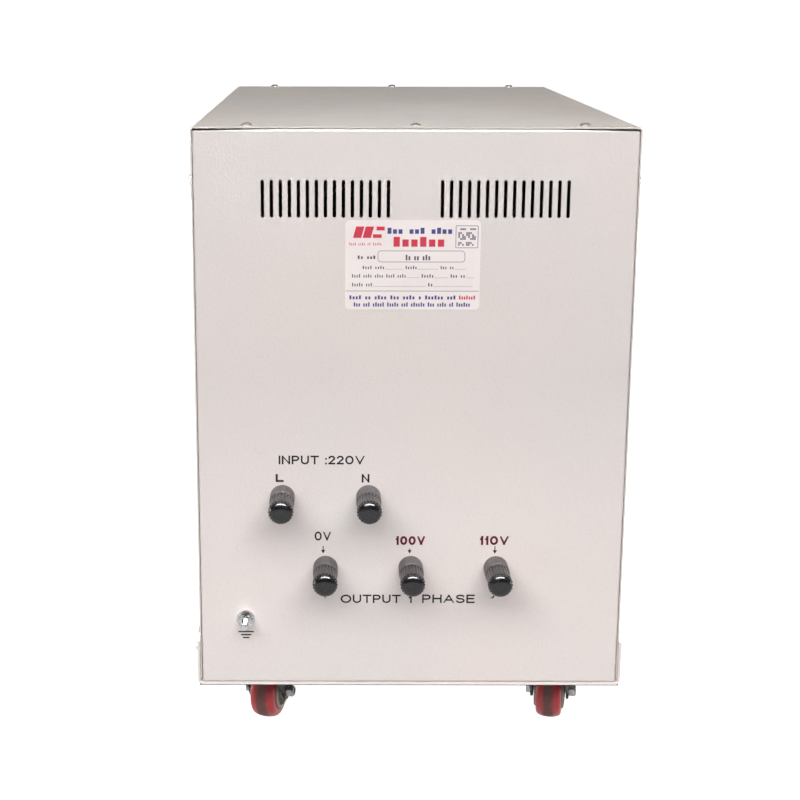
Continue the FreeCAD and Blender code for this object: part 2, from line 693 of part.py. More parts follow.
def signal_leads():
    """Thin pairs from the voltmeter and the pilot lamp down to the winding."""
    leads = []
    drop_y = TOROID_Y + 110.0
    for x, half, y in ((METER_X, 10.0, METER_REAR), (LAMP_X, 6.0, LAMP_REAR)):
        for side in (-half, half):
            route = [
                (x + side, y - JOINT_GAP, METER_Z),
                (x + side, drop_y, METER_Z),
                (x + side, drop_y, TOROID_TOP + JOINT_GAP),
            ]
            leads.append(cable(route, SIGNAL_RADIUS, SIGNAL_BEND))
    return leads


def earth_lead():
    y = PANEL_SHEET + 2.5
    z = TRAY_LUG_Z + 2.5
    reach = 18.0 + JOINT_GAP
    route = [(EARTH_X, y, EARTH_Z - reach), (EARTH_X, y, z), (EARTH_X, TRAY_EARTH_Y - reach, z)]
    return cable(route, EARTH_LEAD_RADIUS, 14.0)


# ---------------------------------------------------------------- voltmeter
METER_REAR = 510.0
METER_FACE = Y_CONTROL + METER_PROUD
GLASS_HALF = 31.0  # half the width of the window
GLASS_LOW, GLASS_HIGH = METER_Z - 17.0, METER_Z + 31.0
DIAL_Y = Y_CONTROL + 3.0
PIVOT_Z = METER_Z - 9.0
NEEDLE_Y = Y_CONTROL + 5.2
NEEDLE_LENGTH = 33.0
ZERO_Z = METER_Z - 24.5


def meter_case():
    """The square bezel and the barrel behind it, hollowed in front for the dial."""
    half = METER_SIDE / 2
    bezel = box(METER_X - half, METER_X + half, Y_CONTROL, METER_FACE, METER_Z - half, METER_Z + half)
    bezel = rounded(bezel, 3.0, lambda m, d: abs(d.y) > 0.9)
    bezel = rounded(bezel, 1.2, lambda m, d: m.y > METER_FACE - 0.01)
    barrel = rod((METER_X, METER_REAR, METER_Z), BACK, METER_BARREL, Y_CONTROL - METER_REAR)
    well = box(METER_X - GLASS_HALF, METER_X + GLASS_HALF, DIAL_Y - 0.9, METER_FACE + 1, GLASS_LOW, GLASS_HIGH)
    spindle = rod((METER_X, DIAL_Y - 0.9, PIVOT_Z), BACK, 1.4, NEEDLE_Y - DIAL_Y + 0.9)
    screw_seat = rod((METER_X, METER_FACE - 1.6, ZERO_Z), BACK, 3.2, 3)
    return fused([bezel.fuse(barrel).cut(well), spindle]).cut(screw_seat)


def meter_dial():
    plate = box(
        METER_X - GLASS_HALF + 0.2,
        METER_X + GLASS_HALF - 0.2,
        DIAL_Y - 0.8,
        DIAL_Y,
        GLASS_LOW + 0.2,
        GLASS_HIGH - 0.2,
    )
    return plate.cut(rod((METER_X, DIAL_Y - 2, PIVOT_Z), BACK, 1.6, 4))


def meter_window():
    pane = box(
        METER_X - GLASS_HALF + 0.1,
        METER_X + GLASS_HALF - 0.1,
        METER_FACE - 2.3,
        METER_FACE - 0.6,
        GLASS_LOW + 0.1,
        GLASS_HIGH - 0.1,
    )
    return pane


def meter_needle():
    """A tapered pointer with a round hub and a short balanced tail, lying at zero, 45 degrees off upright."""
    hub = rod((0, 0, 0), UP, 3.2, 1.4)
    pointer = prism([(-0.55, 0), (0.55, 0), (0.2, NEEDLE_LENGTH), (-0.2, NEEDLE_LENGTH)], 0.5)
    tail = prism([(-0.9, 0), (0.9, 0), (1.7, -6.5), (-1.7, -6.5)], 1.2)
    needle = fused([hub, pointer, tail])
    needle = place_lug(needle, (METER_X, NEEDLE_Y + 0.25, PIVOT_Z), LEFT, UP)
    needle.rotate(Vector(METER_X, 0, PIVOT_Z), Vector(0, 1, 0), 45)
    return needle


def zero_screw():
    screw = rod((METER_X, METER_FACE - 1.4, ZERO_Z), BACK, 3.1, 2.0)
    slot = box(METER_X - 4, METER_X + 4, METER_FACE - 0.3, METER_FACE + 1, ZERO_Z - 0.45, ZERO_Z + 0.45)
    return screw.cut(slot)


# ---------------------------------------------------------------- breaker
SHOULDER_Y = RAIL_Y + 44.0
NOSE_Y = SHOULDER_Y + 16.0
TOGGLE_Y = NOSE_Y - 5.5
TOGGLE_HUB = 7.0
TOGGLE_HALF = 11.0
TOGGLE_REACH = 17.0
TOGGLE_DROP = 40.0  # degrees below level when switched off


def breaker_case():
    """A two-pole breaker: a body on the rail and a nose through the panel, hollowed for the toggle."""
    half, tall = BREAKER_WIDTH / 2, BREAKER_HEIGHT / 2
    body = box(-half, half, RAIL_Y + 0.05, SHOULDER_Y, BREAKER_Z - tall, BREAKER_Z + tall)
    nose = box(-half, half, SHOULDER_Y - 1, NOSE_Y, BREAKER_Z - NOSE_HEIGHT / 2, BREAKER_Z + NOSE_HEIGHT / 2)
    nose = rounded(nose, 1.5, lambda m, d: m.y > NOSE_Y - 0.01 and abs(d.x) > 0.9)
    case = fused([body, nose])
    hub = (-TOGGLE_HALF - 0.3, TOGGLE_Y, BREAKER_Z)
    side, reach = TOGGLE_HALF + 0.3, TOGGLE_HUB + 1.4
    cuts = [rod(hub, RIGHT, TOGGLE_HUB + 0.3, 2 * side)]
    cuts.append(box(-side, side, TOGGLE_Y + 2.5, NOSE_Y + 1, BREAKER_Z - reach, BREAKER_Z + reach))
    for x in (-POLE_X, POLE_X):
        for end in (-1, 1):
            screw_z = BREAKER_Z + end * (BREAKER_HEIGHT / 2 - 8)
            cuts.append(rod((x, SHOULDER_Y - 5, screw_z), BACK, 3.0, 6))
    cuts.append(box(-0.3, 0.3, RAIL_Y, SHOULDER_Y + 0.1, BREAKER_Z + NOSE_HEIGHT / 2 + 2, BREAKER_Z + tall + 1))
    return case.cut(Part.makeCompound(cuts))


def breaker_toggle():
    """The linked toggle: a drum between the poles with one lever, pointing down when off."""
    drum = rod((-TOGGLE_HALF, 0, 0), RIGHT, TOGGLE_HUB, 2 * TOGGLE_HALF)
    lever = box(-TOGGLE_HALF, TOGGLE_HALF, 0, TOGGLE_REACH, -2.4, 2.4)
    lever = rounded(lever, 1.5, lambda m, d: m.y > TOGGLE_REACH - 0.01 and abs(d.x) > 0.9)
    toggle = fused([drum, lever])
    toggle.rotate(Vector(0, 0, 0), Vector(1, 0, 0), -TOGGLE_DROP)
    toggle.translate(Vector(0, TOGGLE_Y, BREAKER_Z))
    return toggle


def din_rail():
    """A 35 mm top-hat rail, cut to the breaker's length and drilled for its two posts."""
    half, t = 45.0, 1.0
    web_y = RAIL_Y - 7.5
    parts = [box(-half, half, web_y, web_y + t, BREAKER_Z - 13.5, BREAKER_Z + 13.5)]
    for side in (-1, 1):
        inner, outer = sorted((BREAKER_Z + side * 12.5, BREAKER_Z + side * 13.5))
        parts.append(box(-half, half, web_y, RAIL_Y, inner, outer))
        inner, outer = sorted((BREAKER_Z + side * 12.5, BREAKER_Z + side * 17.5))
        parts.append(box(-half, half, RAIL_Y - t, RAIL_Y, inner, outer))
    holes = [rod((x, web_y - 1, BREAKER_Z), BACK, 2.2, 4) for x in (-RAIL_POST_X, RAIL_POST_X)]
    return fused(parts).cut(Part.makeCompound(holes))


def rail_posts():
    """Round spacers from the panel's inner face to the rail, tapped at both ends."""
    start = RAIL_Y - 6.5
    length = Y_CONTROL_INNER - start
    posts = []
    for x in (-RAIL_POST_X, RAIL_POST_X):
        post = rod((x, start, BREAKER_Z), BACK, 4.5, length)
        posts.append(post.cut(rod((x, start, BREAKER_Z), BACK, 2.05, length)))
    return posts


# ---------------------------------------------------------------- pilot lamp
LAMP_REAR = 515.0


def lamp_body():
    """The lamp's threaded body, its bezel on the panel's face and its ring nut behind."""
    outline = [
        (0, LAMP_REAR),
        (10.9, LAMP_REAR),
        (10.9, Y_CONTROL),
        (14.5, Y_CONTROL),
        (14.5, Y_CONTROL + 2.2),
        (14.0, Y_CONTROL + 3.4, "arc"),
        (12.8, Y_CONTROL + 4.0),
        (12.0, Y_CONTROL + 4.0),
        (12.0, Y_CONTROL + 1.0),
        (0, Y_CONTROL + 1.0),
    ]
    body = aim(lathe(outline), (LAMP_X, 0, LAMP_Z), BACK)
    nut = ring((LAMP_X, Y_CONTROL_INNER - 5.0, LAMP_Z), BACK, 14.0, 10.9, 5.0)
    return fused([body, nut])


def lamp_lens():
    """The domed lens, stepped where it sits in the bezel."""
    outline = [
        (0, 1.05),
        (11.9, 1.05),
        (11.9, 10.0),
        (10.6, 14.8, "arc"),
        (6.5, LAMP_PROUD - 0.9),
        crown(6.5, LAMP_PROUD - 0.9, LAMP_PROUD),
        (0, LAMP_PROUD),
    ]
    return aim(lathe(outline), (LAMP_X, Y_CONTROL, LAMP_Z), BACK)


# ---------------------------------------------------------------- casters
PLATE_SHEET = 2.5
RACE_DEPTH = 4.5
CROWN_TOP = -(PLATE_SHEET + RACE_DEPTH + 0.2)
FORK_SHEET = 2.2
FORK_GAP = 14.8  # half the space between the fork's legs
KINGPIN_RADIUS = 4.0
AXLE_RADIUS = 3.0
CORE_HALF = 13.8
TYRE_HALF = 11.2
TYRE_SEAT = 16.6  # radius at which the tyre is moulded on to its core


def caster_plate():
    """The top plate with its pressed bearing race, drawn about the swivel axis."""
    half = 31.0
    plate = box(-half, half, -half, half, -PLATE_SHEET, 0)
    plate = rounded(plate, 5.0, lambda m, d: abs(d.z) > 0.9)
    race = lathe(
        [
            (KINGPIN_RADIUS, 0),
            (KINGPIN_RADIUS, -PLATE_SHEET - RACE_DEPTH),
            (16.5, -PLATE_SHEET - RACE_DEPTH),
            (21.5, -PLATE_SHEET),
            (21.5, 0),
        ]
    )
    pitch = CASTER_BOLT_PITCH / 2
    holes = [rod((i * pitch, j * pitch, 1), DOWN, 3.3, 5) for i in (-1, 1) for j in (-1, 1)]
    return fused([plate, race]).cut(Part.makeCompound(holes + [rod((0, 0, 1), DOWN, KINGPIN_RADIUS, 9)]))


def caster_kingpin():
    """The rivet that carries the fork, flush with the top of its plate."""
    head_top = CROWN_TOP - FORK_SHEET - 0.15
    outline = [
        (0, 0),
        (KINGPIN_RADIUS, 0),
        (KINGPIN_RADIUS, head_top),
        (7.5, head_top),
        (7.5, head_top - 1.4),
        crown(7.5, head_top - 1.4, head_top - 3.3),
        (0, head_top - 3.3),
    ]
    return lathe(outline)


def caster_fork():
    """A pressed fork: a crown about the swivel axis and two tapered legs, trailing along +y."""
    outer_x = FORK_GAP + FORK_SHEET
    low = AXLE_Z - 8.5
    block = box(-outer_x, outer_x, -24, CASTER_TRAIL + 9, low, CROWN_TOP)
    block = rounded(block, 3.5, lambda m, d: abs(d.y) > 0.9 and m.z > CROWN_TOP - 0.01)
    space = box(-FORK_GAP, FORK_GAP, -25, CASTER_TRAIL + 10, low - 1, CROWN_TOP - FORK_SHEET)
    space = rounded(space, 1.0, lambda m, d: abs(d.y) > 0.9 and m.z > CROWN_TOP - FORK_SHEET - 0.01)
    shell = block.cut(space)
    crown_foot = CROWN_TOP - FORK_SHEET - 3.0
    outline = [
        (-21.0, CROWN_TOP + 1),
        (-21.0, crown_foot),
        (CASTER_TRAIL - 8.0, AXLE_Z),
        (CASTER_TRAIL + 8.0, AXLE_Z),
        (24.0, crown_foot),
        (24.0, CROWN_TOP + 1),
    ]
    corners = [Vector(-30, y, z) for y, z in outline]
    side = Part.Face(Part.makePolygon(corners + corners[:1])).extrude(Vector(60, 0, 0))
    side = side.fuse(rod((-30, CASTER_TRAIL, AXLE_Z), RIGHT, 8.0, 60))
    fork = shell.common(side)
    fork = fork.cut(rod((0, 0, CROWN_TOP + 1), DOWN, KINGPIN_RADIUS + 0.06, 5))
    return fork.cut(rod((-30, CASTER_TRAIL, AXLE_Z), RIGHT, AXLE_RADIUS, 60))


def caster_axle():
    """An M6 axle bolt with its head on the left leg and a dome-ended lock nut on the right one."""
    leg = FORK_GAP + FORK_SHEET
    bolt = aim(hex_bolt(10, 4.0, AXLE_RADIUS, 2 * leg + 5.5), (-leg, CASTER_TRAIL, AXLE_Z), RIGHT)
    collar = lathe([(3.05, 4.9), (4.7, 4.9), (4.4, 6.0, "arc"), (3.9, 6.4), (3.05, 6.4)])
    nut = fused([hex_nut(10, 5.0, 3.05), collar])
    return [bolt, aim(nut, (leg, CASTER_TRAIL, AXLE_Z), RIGHT)]


def wheel_core():
    """The moulded core: a hub, a web with a rim, and a running bore for the axle."""
    half = CORE_HALF
    outline = [
        (AXLE_RADIUS + 0.08, -half),
        (7.0, -half),
        (7.6, -half + 0.8),
        (8.2, -5.5),
        (13.1, -5.0),
        (13.7, -half + 1.0),
        (14.5, -half + 0.2),
        (15.5, -half + 0.2),
        (16.1, -TYRE_HALF),
        (TYRE_SEAT, -TYRE_HALF + 0.4),
        (TYRE_SEAT, TYRE_HALF - 0.4),
        (16.1, TYRE_HALF),
        (15.5, half - 0.2),
        (14.5, half - 0.2),
        (13.7, half - 1.0),
        (13.1, 5.0),
        (8.2, 5.5),
        (7.6, half - 0.8),
        (7.0, half),
        (AXLE_RADIUS + 0.08, half),
    ]
    return aim(lathe(outline), (0, CASTER_TRAIL, AXLE_Z), RIGHT)


def wheel_tyre():
    """The polyurethane tread, crowned across its width."""
    outline = [
        (TYRE_SEAT, -TYRE_HALF + 0.6),
        (18.8, -TYRE_HALF),
        (20.6, -TYRE_HALF + 0.4),
        (WHEEL_RADIUS, 0, "arc"),
        (20.6, TYRE_HALF - 0.4),
        (18.8, TYRE_HALF),
        (TYRE_SEAT, TYRE_HALF - 0.6),
    ]
    return aim(lathe(outline), (0, CASTER_TRAIL, AXLE_Z), RIGHT)


def at_caster(shape, name, turned=True):
    """A caster piece, drawn about the swivel axis, moved under the tray and turned as its caster stands."""
    x, y, trail_angle = CASTERS[name]
    moved = shape.copy()
    if turned:
        moved.rotate(Vector(0, 0, 0), Vector(0, 0, 1), -trail_angle)
    moved.translate(Vector(x, y, 0))
    return moved


def caster_bolts():
    """The M6 bolts through the plates and the tray, each with its nut on the tray."""
    pieces = []
    for x, y in caster_bolt_places():
        pieces.append(aim(hex_bolt(10, 4.0, 3.0, 16.0), (x, y, -PLATE_SHEET), UP))
        pieces.append(aim(hex_nut(10, 5.0, 3.05), (x, y, TRAY_SHEET), UP))
    return pieces


# ---------------------------------------------------------------- the whole
def nodes():
    """Every node's name and its solids."""
    made = {
        "base_tray": [tray()],
        "top_cover": [cover()],
        "terminal_panel": [terminal_panel()],
        "control_panel": [control_panel()],
        "cabinet_screws": cabinet_screws(),
        "transformer_core": [core()],
        "transformer_winding": [winding()],
        "transformer_pads": core_pads(),
        "clamp_dish": [clamp_dish()],
        "centre_bolt": centre_bolt(),
        "post_collars": [post_collar(x, z) for x, z in POSTS.values()],
        "post_rear_insulators": [rear_insulator(x, z) for x, z in POSTS.values()],
        "post_studs": [post_stud(x, z) for x, z in POSTS.values()],
        "post_nuts": [nut for x, z in POSTS.values() for nut in post_nuts(x, z)],
        "ring_lugs": ring_lugs(),
        "earth_studs": earth_studs(),
        "earth_nuts": earth_nuts(),
        "power_leads": power_leads(),
        "signal_leads": signal_leads(),
        "earth_lead": [earth_lead()],
        "voltmeter_case": [meter_case()],
        "voltmeter_dial": [meter_dial()],
        "voltmeter_needle": [meter_needle()],
        "voltmeter_window": [meter_window()],
        "voltmeter_zero_screw": [zero_screw()],
        "breaker_case": [breaker_case()],
        "breaker_toggle": [breaker_toggle()],
        "din_rail": [din_rail()],
        "rail_posts": rail_posts(),
        "pilot_lamp_body": [lamp_body()],
        "pilot_lamp_lens": [lamp_lens()],
        "caster_plates": [at_caster(caster_plate(), name, turned=False) for name in CASTERS],
        "caster_kingpins": [at_caster(caster_kingpin(), name) for name in CASTERS],
        "caster_bolts": caster_bolts(),
    }
    for name, (x, z) in POSTS.items():
        made[f"cap_{name}"] = [post_cap(x, z)]
        made[f"cap_insert_{name}"] = [cap_insert(x, z)]
    for name in CASTERS:
        made[f"caster_fork_{name}"] = [at_caster(caster_fork(), name)]
        made[f"caster_axle_{name}"] = [at_caster(piece, name) for piece in caster_axle()]
        made[f"wheel_core_{name}"] = [at_caster(wheel_core(), name)]
        made[f"wheel_tyre_{name}"] = [at_caster(wheel_tyre(), name)]
    return made


def main():
    os.makedirs("parts", exist_ok=True)
    for name, pieces in nodes().items():
        shape = Part.makeCompound(pieces) if len(pieces) > 1 else pieces[0]
        shape = shape.copy()
        shape.translate(ROW_SHIFT)
        count = len(shape.Solids)
        if count != len(pieces) or not shape.isValid():
            raise ValueError(f"{name} has {count} solids from {len(pieces)} pieces, valid {shape.isValid()}")
        shape.exportStep(f"parts/{name}.step")
    print("row shift", ROW_SHIFT)


main()
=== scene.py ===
"""Looks for a tapped autotransformer in a sheet-steel cabinet on casters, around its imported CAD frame.

Everything is in metres, in the frame's own axes: +Z up, the terminal panel facing -Y. Places come from the
boxes of the CAD nodes, and sizes that the frame doesn't hold are written in millimetres times MM.
"""

import json
import math

import bmesh
import bpy
from mathutils import Matrix, Vector


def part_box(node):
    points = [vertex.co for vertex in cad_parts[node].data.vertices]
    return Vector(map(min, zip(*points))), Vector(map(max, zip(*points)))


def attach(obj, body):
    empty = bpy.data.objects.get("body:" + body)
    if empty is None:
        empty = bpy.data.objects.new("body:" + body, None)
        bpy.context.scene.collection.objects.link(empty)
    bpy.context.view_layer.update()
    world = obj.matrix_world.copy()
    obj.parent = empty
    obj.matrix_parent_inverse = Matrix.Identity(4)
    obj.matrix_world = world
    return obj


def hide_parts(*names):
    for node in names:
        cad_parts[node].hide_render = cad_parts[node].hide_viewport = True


MM = 0.001
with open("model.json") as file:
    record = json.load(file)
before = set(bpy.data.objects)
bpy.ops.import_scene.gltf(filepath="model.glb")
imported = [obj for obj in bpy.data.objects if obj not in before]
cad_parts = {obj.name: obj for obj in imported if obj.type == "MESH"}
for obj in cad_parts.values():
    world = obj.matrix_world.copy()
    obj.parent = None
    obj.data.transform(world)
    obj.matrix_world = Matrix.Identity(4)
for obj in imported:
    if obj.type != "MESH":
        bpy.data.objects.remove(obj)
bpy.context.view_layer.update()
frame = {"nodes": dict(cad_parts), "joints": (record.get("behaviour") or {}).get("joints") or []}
NODES = frame["nodes"]

POSTS = ("input_line", "input_neutral", "output_0v", "output_100v", "output_110v")
CASTERS = ("terminal_left", "terminal_right", "control_left", "control_right")
JOINTS = {joint["name"]: joint for joint in frame["joints"]}


def centre(node):
    low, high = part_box(node)
    return (low + high) / 2


PANEL_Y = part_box("terminal_panel")[0].y  # outer face of the terminal panel
CONTROL_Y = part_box("control_panel")[1].y  # outer face of the control panel
TRAY_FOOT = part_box("base_tray")[0].z
PAINTED_LIP_HIGHLIGHT_TOP = TRAY_FOOT + 2.6 * MM  # top of the tray floor's front edge; below it the paint is made brighter, a painted highlight of the edge catching light
PRINT = 0.06 * MM  # thickness of printed ink
FACING = Matrix.Rotation(math.radians(90), 4, "X")  # the xy plane stood up to face -Y
REAR_FACING = Matrix.Rotation(math.pi, 4, "Z") @ FACING  # the same, to face +Y


# ---------------------------------------------------------------- camera, lights and floor
def add_camera():
    """The photograph's viewpoint: in front of the terminal panel, a little to its left and looking down."""
    data = bpy.data.cameras.new("camera")
    data.sensor_width = 36.0
    data.lens = 67.68
    data.shift_x = 0.0775
    data.shift_y = -0.0625
    data.clip_end = 5000.0
    camera = bpy.data.objects.new("camera", data)
    bpy.context.scene.collection.objects.link(camera)
    down, roll = math.radians(13.087), math.radians(-0.10)
    turn = Matrix.Rotation(-down, 4, "X") @ Matrix.Rotation(roll, 4, "Y") @ FACING
    place = Vector((-60 * MM, PANEL_Y - 1164.9 * MM, TRAY_FOOT + 558.8 * MM))
    camera.matrix_world = Matrix.Translation(place) @ turn
    bpy.context.scene.camera = camera


def add_lamp(name, kind, place, target, power, colour=(1.0, 1.0, 1.0)):
    """A light of one kind at a place, aimed at a target."""
    data = bpy.data.lights.new(name, kind)
    data.energy = power
    data.color = colour
    lamp = bpy.data.objects.new(name, data)
    lamp.location = place
    lamp.rotation_euler = (Vector(target) - Vector(place)).to_track_quat("-Z", "Y").to_euler()
    bpy.context.scene.collection.objects.link(lamp)
    return lamp


def add_softbox(name, place, target, size, power, colour=(1.0, 1.0, 1.0)):
    lamp = add_lamp(name, "AREA", place, target, power, colour)
    lamp.data.shape = "RECTANGLE"
    lamp.data.size, lamp.data.size_y = size
    return lamp


def add_lights():
    """A wide soft key high in front, a ceiling panel that the gloss picks up, and weaker fills."""
    warm = (1.0, 0.985, 0.97)
    key = add_softbox("key", (-0.35, -3.4, 3.1), (0.0, PANEL_Y, 0.3), (6.0, 1.9), 258, warm)
    key.visible_glossy = False
    ceiling = add_softbox("ceiling", (0.0, -1.25, 1.80), (0.0, PANEL_Y, 0.2), (2.3, 0.65), 280)
    ceiling.visible_diffuse = False
    add_softbox("overhead", (-0.12, -0.62, 1.15), (0.0, PANEL_Y + 0.05, 0.45), (0.8, 0.2), 0.45, warm)
    cool = (0.985, 0.985, 1.03)
    bounce = add_softbox("bounce", (-0.05, -1.5, 0.03), (0.0, PANEL_Y, 0.14), (2.6, 1.2), 5.2, cool)
    bounce.visible_glossy = False
    add_softbox("back", (2.4, 2.8, 1.5), (0.0, CONTROL_Y, 0.3), (1.6, 1.4), 6)
    for name, place, size, power in (
        ("rear", (0.9, 3.0, 0.28), (3.2, 0.4), 90),
        ("left", (-3.0, 0.55, 0.20), (2.2, 0.3), 32),
        ("right", (3.0, 0.55, 0.20), (2.2, 0.3), 32),
    ):
        add_softbox(name, place, (0.0, 0.1, 0.28), size, power)
    world = bpy.data.worlds.new("studio")
    world.use_nodes = True
    tree = world.node_tree
    direction = tree.nodes.new("ShaderNodeTexCoord")
    split = tree.nodes.new("ShaderNodeSeparateXYZ")
    tree.links.new(direction.outputs["Generated"], split.inputs["Vector"])
    rise = tree.nodes.new("ShaderNodeValToRGB")
    rise.color_ramp.elements[0].position = 0.45
    rise.color_ramp.elements[0].color = (0.05, 0.049, 0.048, 1.0)
    rise.color_ramp.elements[1].position = 1.0
    rise.color_ramp.elements[1].color = (1.0, 0.985, 0.97, 1.0)
    tree.links.new(split.outputs["Z"], rise.inputs["Fac"])
    tree.links.new(rise.outputs["Color"], tree.nodes["Background"].inputs["Color"])
    tree.nodes["Background"].inputs["Strength"].default_value = 0.26
    bpy.context.scene.world = world
    bpy.context.scene.view_settings.view_transform = "Standard"


def add_floor():
    """A wide pale floor and a far wall, with a little light of their own so that they stay near white."""
    finish = Finish("floor_paper")
    pale = finish.ramp(finish.noise(3.0), [(0.3, (0.40, 0.40, 0.40)), (0.7, (0.42, 0.42, 0.42))])
    finish.set("Base Color", pale)
    finish.set("Roughness", 0.9)
    finish.set("Specular IOR Level", 0.1)
    finish.set("Emission Color", (1.0, 0.995, 0.99, 1.0))
    finish.set("Emission Strength", 1.0)
    for name, outline in (
        ("floor", [(0.0, 0.0), (2000.0, 0.0), (2000.0, 20.0)]),
        ("far_wall", [(1990.0, 0.0), (1990.0, 600.0)]),
    ):
        mesh = mesh_from(lambda shape: turn(shape, outline, Matrix()), name)
        mesh.materials.append(finish.material)
        stage = bpy.data.objects.new(name, mesh)
        bpy.context.scene.collection.objects.link(stage)
        stage.visible_diffuse = False
        if name == "far_wall":
            stage.visible_glossy = False
            stage.visible_shadow = False


# ---------------------------------------------------------------- finishes
class Finish:
    """A procedural material: the principled shader, and methods that add the nodes feeding it."""

    def __init__(self, name):
        self.material = bpy.data.materials.new(name)
        self.material.use_nodes = True
        self.tree = self.material.node_tree
        self.shader = self.tree.nodes["Principled BSDF"]
        self.place = self.tree.nodes.new("ShaderNodeTexCoord").outputs["Object"]

    def node(self, kind, **settings):
        made = self.tree.nodes.new("ShaderNode" + kind)
        for name, value in settings.items():
            setattr(made, name, value)
        return made

    def feed(self, socket, value):
        """Links an output to a socket, or sets the socket to a plain value."""
        if isinstance(value, bpy.types.NodeSocket):
            self.tree.links.new(value, socket)
        elif isinstance(value, tuple) and len(value) == 3 and socket.type == "RGBA":
            socket.default_value = (*value, 1.0)
        else:
            socket.default_value = value

    def set(self, name, value):
        self.feed(self.shader.inputs[name], value)

    def noise(self, scale, detail=2.0, roughness=0.5, place=None):
        made = self.node("TexNoise")
        self.feed(made.inputs["Vector"], place or self.place)
        made.inputs["Scale"].default_value = scale
        made.inputs["Detail"].default_value = detail
        made.inputs["Roughness"].default_value = roughness
        return made.outputs["Fac"]

    def cells(self, scale, place=None, feature="F1"):
        made = self.node("TexVoronoi", feature=feature)
        self.feed(made.inputs["Vector"], place or self.place)
        made.inputs["Scale"].default_value = scale
        return made.outputs["Distance"]

    def stretched(self, scale):
        """The object's coordinates, scaled differently along each axis."""
        made = self.node("Mapping")
        self.feed(made.inputs["Vector"], self.place)
        made.inputs["Scale"].default_value = scale
        return made.outputs["Vector"]

    def axis(self, name, place=None):
        made = self.node("SeparateXYZ")
        self.feed(made.inputs["Vector"], place or self.place)
        return made.outputs[name]

    def attribute(self, name):
        return self.node("Attribute", attribute_name=name).outputs["Fac"]

    def ramp(self, value, stops):
        """A colour, or a grey from a number, for each place in stops, blended between them."""
        made = self.node("ValToRGB")
        ramp = made.color_ramp
        while len(ramp.elements) < len(stops):
            ramp.elements.new(0.5)
        for element, (place, colour) in zip(ramp.elements, stops):
            element.position = place
            if isinstance(colour, (int, float)):
                colour = (colour, colour, colour)
            element.color = (*colour, 1.0)
        self.feed(made.inputs["Fac"], value)
        return made.outputs["Color"]

    def sum(self, kind, first, second):
        """An operation on two numbers."""
        made = self.node("Math", operation=kind)
        self.feed(made.inputs[0], first)
        self.feed(made.inputs[1], second)
        return made.outputs["Value"]

    def blend(self, amount, first, second, kind="MIX"):
        made = self.node("Mix", data_type="RGBA", blend_type=kind)
        self.feed(made.inputs["Factor"], amount)
        self.feed(made.inputs[6], first)
        self.feed(made.inputs[7], second)
        return made.outputs[2]

    def bump(self, *layers):
        """A normal from layers of (height, depth in metres), each added to the last."""
        normal = None
        for height, depth in layers:
            made = self.node("Bump")
            made.inputs["Strength"].default_value = 1.0
            made.inputs["Distance"].default_value = depth
            self.feed(made.inputs["Height"], height)
            if normal is not None:
                self.feed(made.inputs["Normal"], normal)
            normal = made.outputs["Normal"]
        self.set("Normal", normal)


def enamel(name, base, warm, cool, grime, dusty=0.0, painted_light_by_height=()):
    """Powder-coated sheet: an orange-peel skin over a faint warm and cool mottle, a little dirt, fine specks.

    The last argument holds (height in metres, grey) pairs that multiply the paint up the cabinet: painted light
    and shade, a painted highlight where a grey is above 1 and painted shade where it falls with height.
    """
    finish = Finish(name)
    drift = finish.noise(5.0, detail=3.0)
    colour = finish.ramp(drift, [(0.34, cool), (0.5, base), (0.68, warm)])
    fleck = finish.ramp(finish.noise(900.0, detail=1.0), [(0.36, 0.965), (0.52, 1.0)])
    colour = finish.blend(1.0, colour, fleck, "MULTIPLY")
    scuff = finish.noise(38.0, detail=6.0, roughness=0.7)
    colour = finish.blend(finish.ramp(scuff, [(0.60, 0.0), (0.80, dusty)]), colour, grime)
    # painted light and shade: the paint multiplied by a grey that changes with height
    if painted_light_by_height:
        colour = finish.blend(1.0, colour, finish.ramp(finish.axis("Z"), painted_light_by_height), "MULTIPLY")
    finish.set("Base Color", colour)
    finish.set("Roughness", finish.ramp(scuff, [(0.3, 0.44), (0.75, 0.60)]))
    finish.set("Specular IOR Level", 0.42)
    peel = finish.noise(480.0, detail=2.0)
    texture = finish.cells(1100.0)
    finish.bump((peel, 0.15 * MM), (texture, 0.05 * MM), (finish.noise(9.0), 0.6 * MM))
    return finish.material


def moulded(name, colour, dust, roughness, dust_amount, coat=0.0, grain=1400.0, gloss=0.5):
    """Moulded plastic: a fine grain, with dust lying on it in patches."""
    finish = Finish(name)
    patches = finish.noise(260.0, detail=5.0, roughness=0.65)
    amount = finish.ramp(patches, [(0.38, dust_amount * 0.25), (0.66, dust_amount)])
    finish.set("Base Color", finish.blend(amount, colour, dust))
    finish.set("Roughness", finish.ramp(patches, [(0.35, roughness), (0.7, min(1.0, roughness + 0.16))]))
    finish.set("Specular IOR Level", gloss)
    finish.set("Coat Weight", coat)
    finish.set("Coat Roughness", 0.08)
    finish.bump((finish.noise(grain, detail=3.0), 0.03 * MM))
    return finish.material


def metal(name, light, dark, roughness, streaks=(600.0, 600.0, 600.0), depth=0.03):
    """Bare or plated metal: a lighter and a darker tone in fine streaks, with a duller bloom in places."""
    finish = Finish(name)
    fine = finish.noise(1.0, detail=4.0, roughness=0.6, place=finish.stretched(streaks))
    bloom = finish.noise(120.0, detail=4.0)
    tone = finish.ramp(fine, [(0.3, dark), (0.7, light)])
    finish.set("Base Color", finish.blend(finish.ramp(bloom, [(0.5, 0.0), (0.85, 0.5)]), tone, dark))
    finish.set("Metallic", 1.0)
    finish.set("Roughness", finish.ramp(bloom, [(0.3, roughness), (0.8, min(1.0, roughness + 0.2))]))
    finish.bump((fine, depth * MM))
    return finish.material


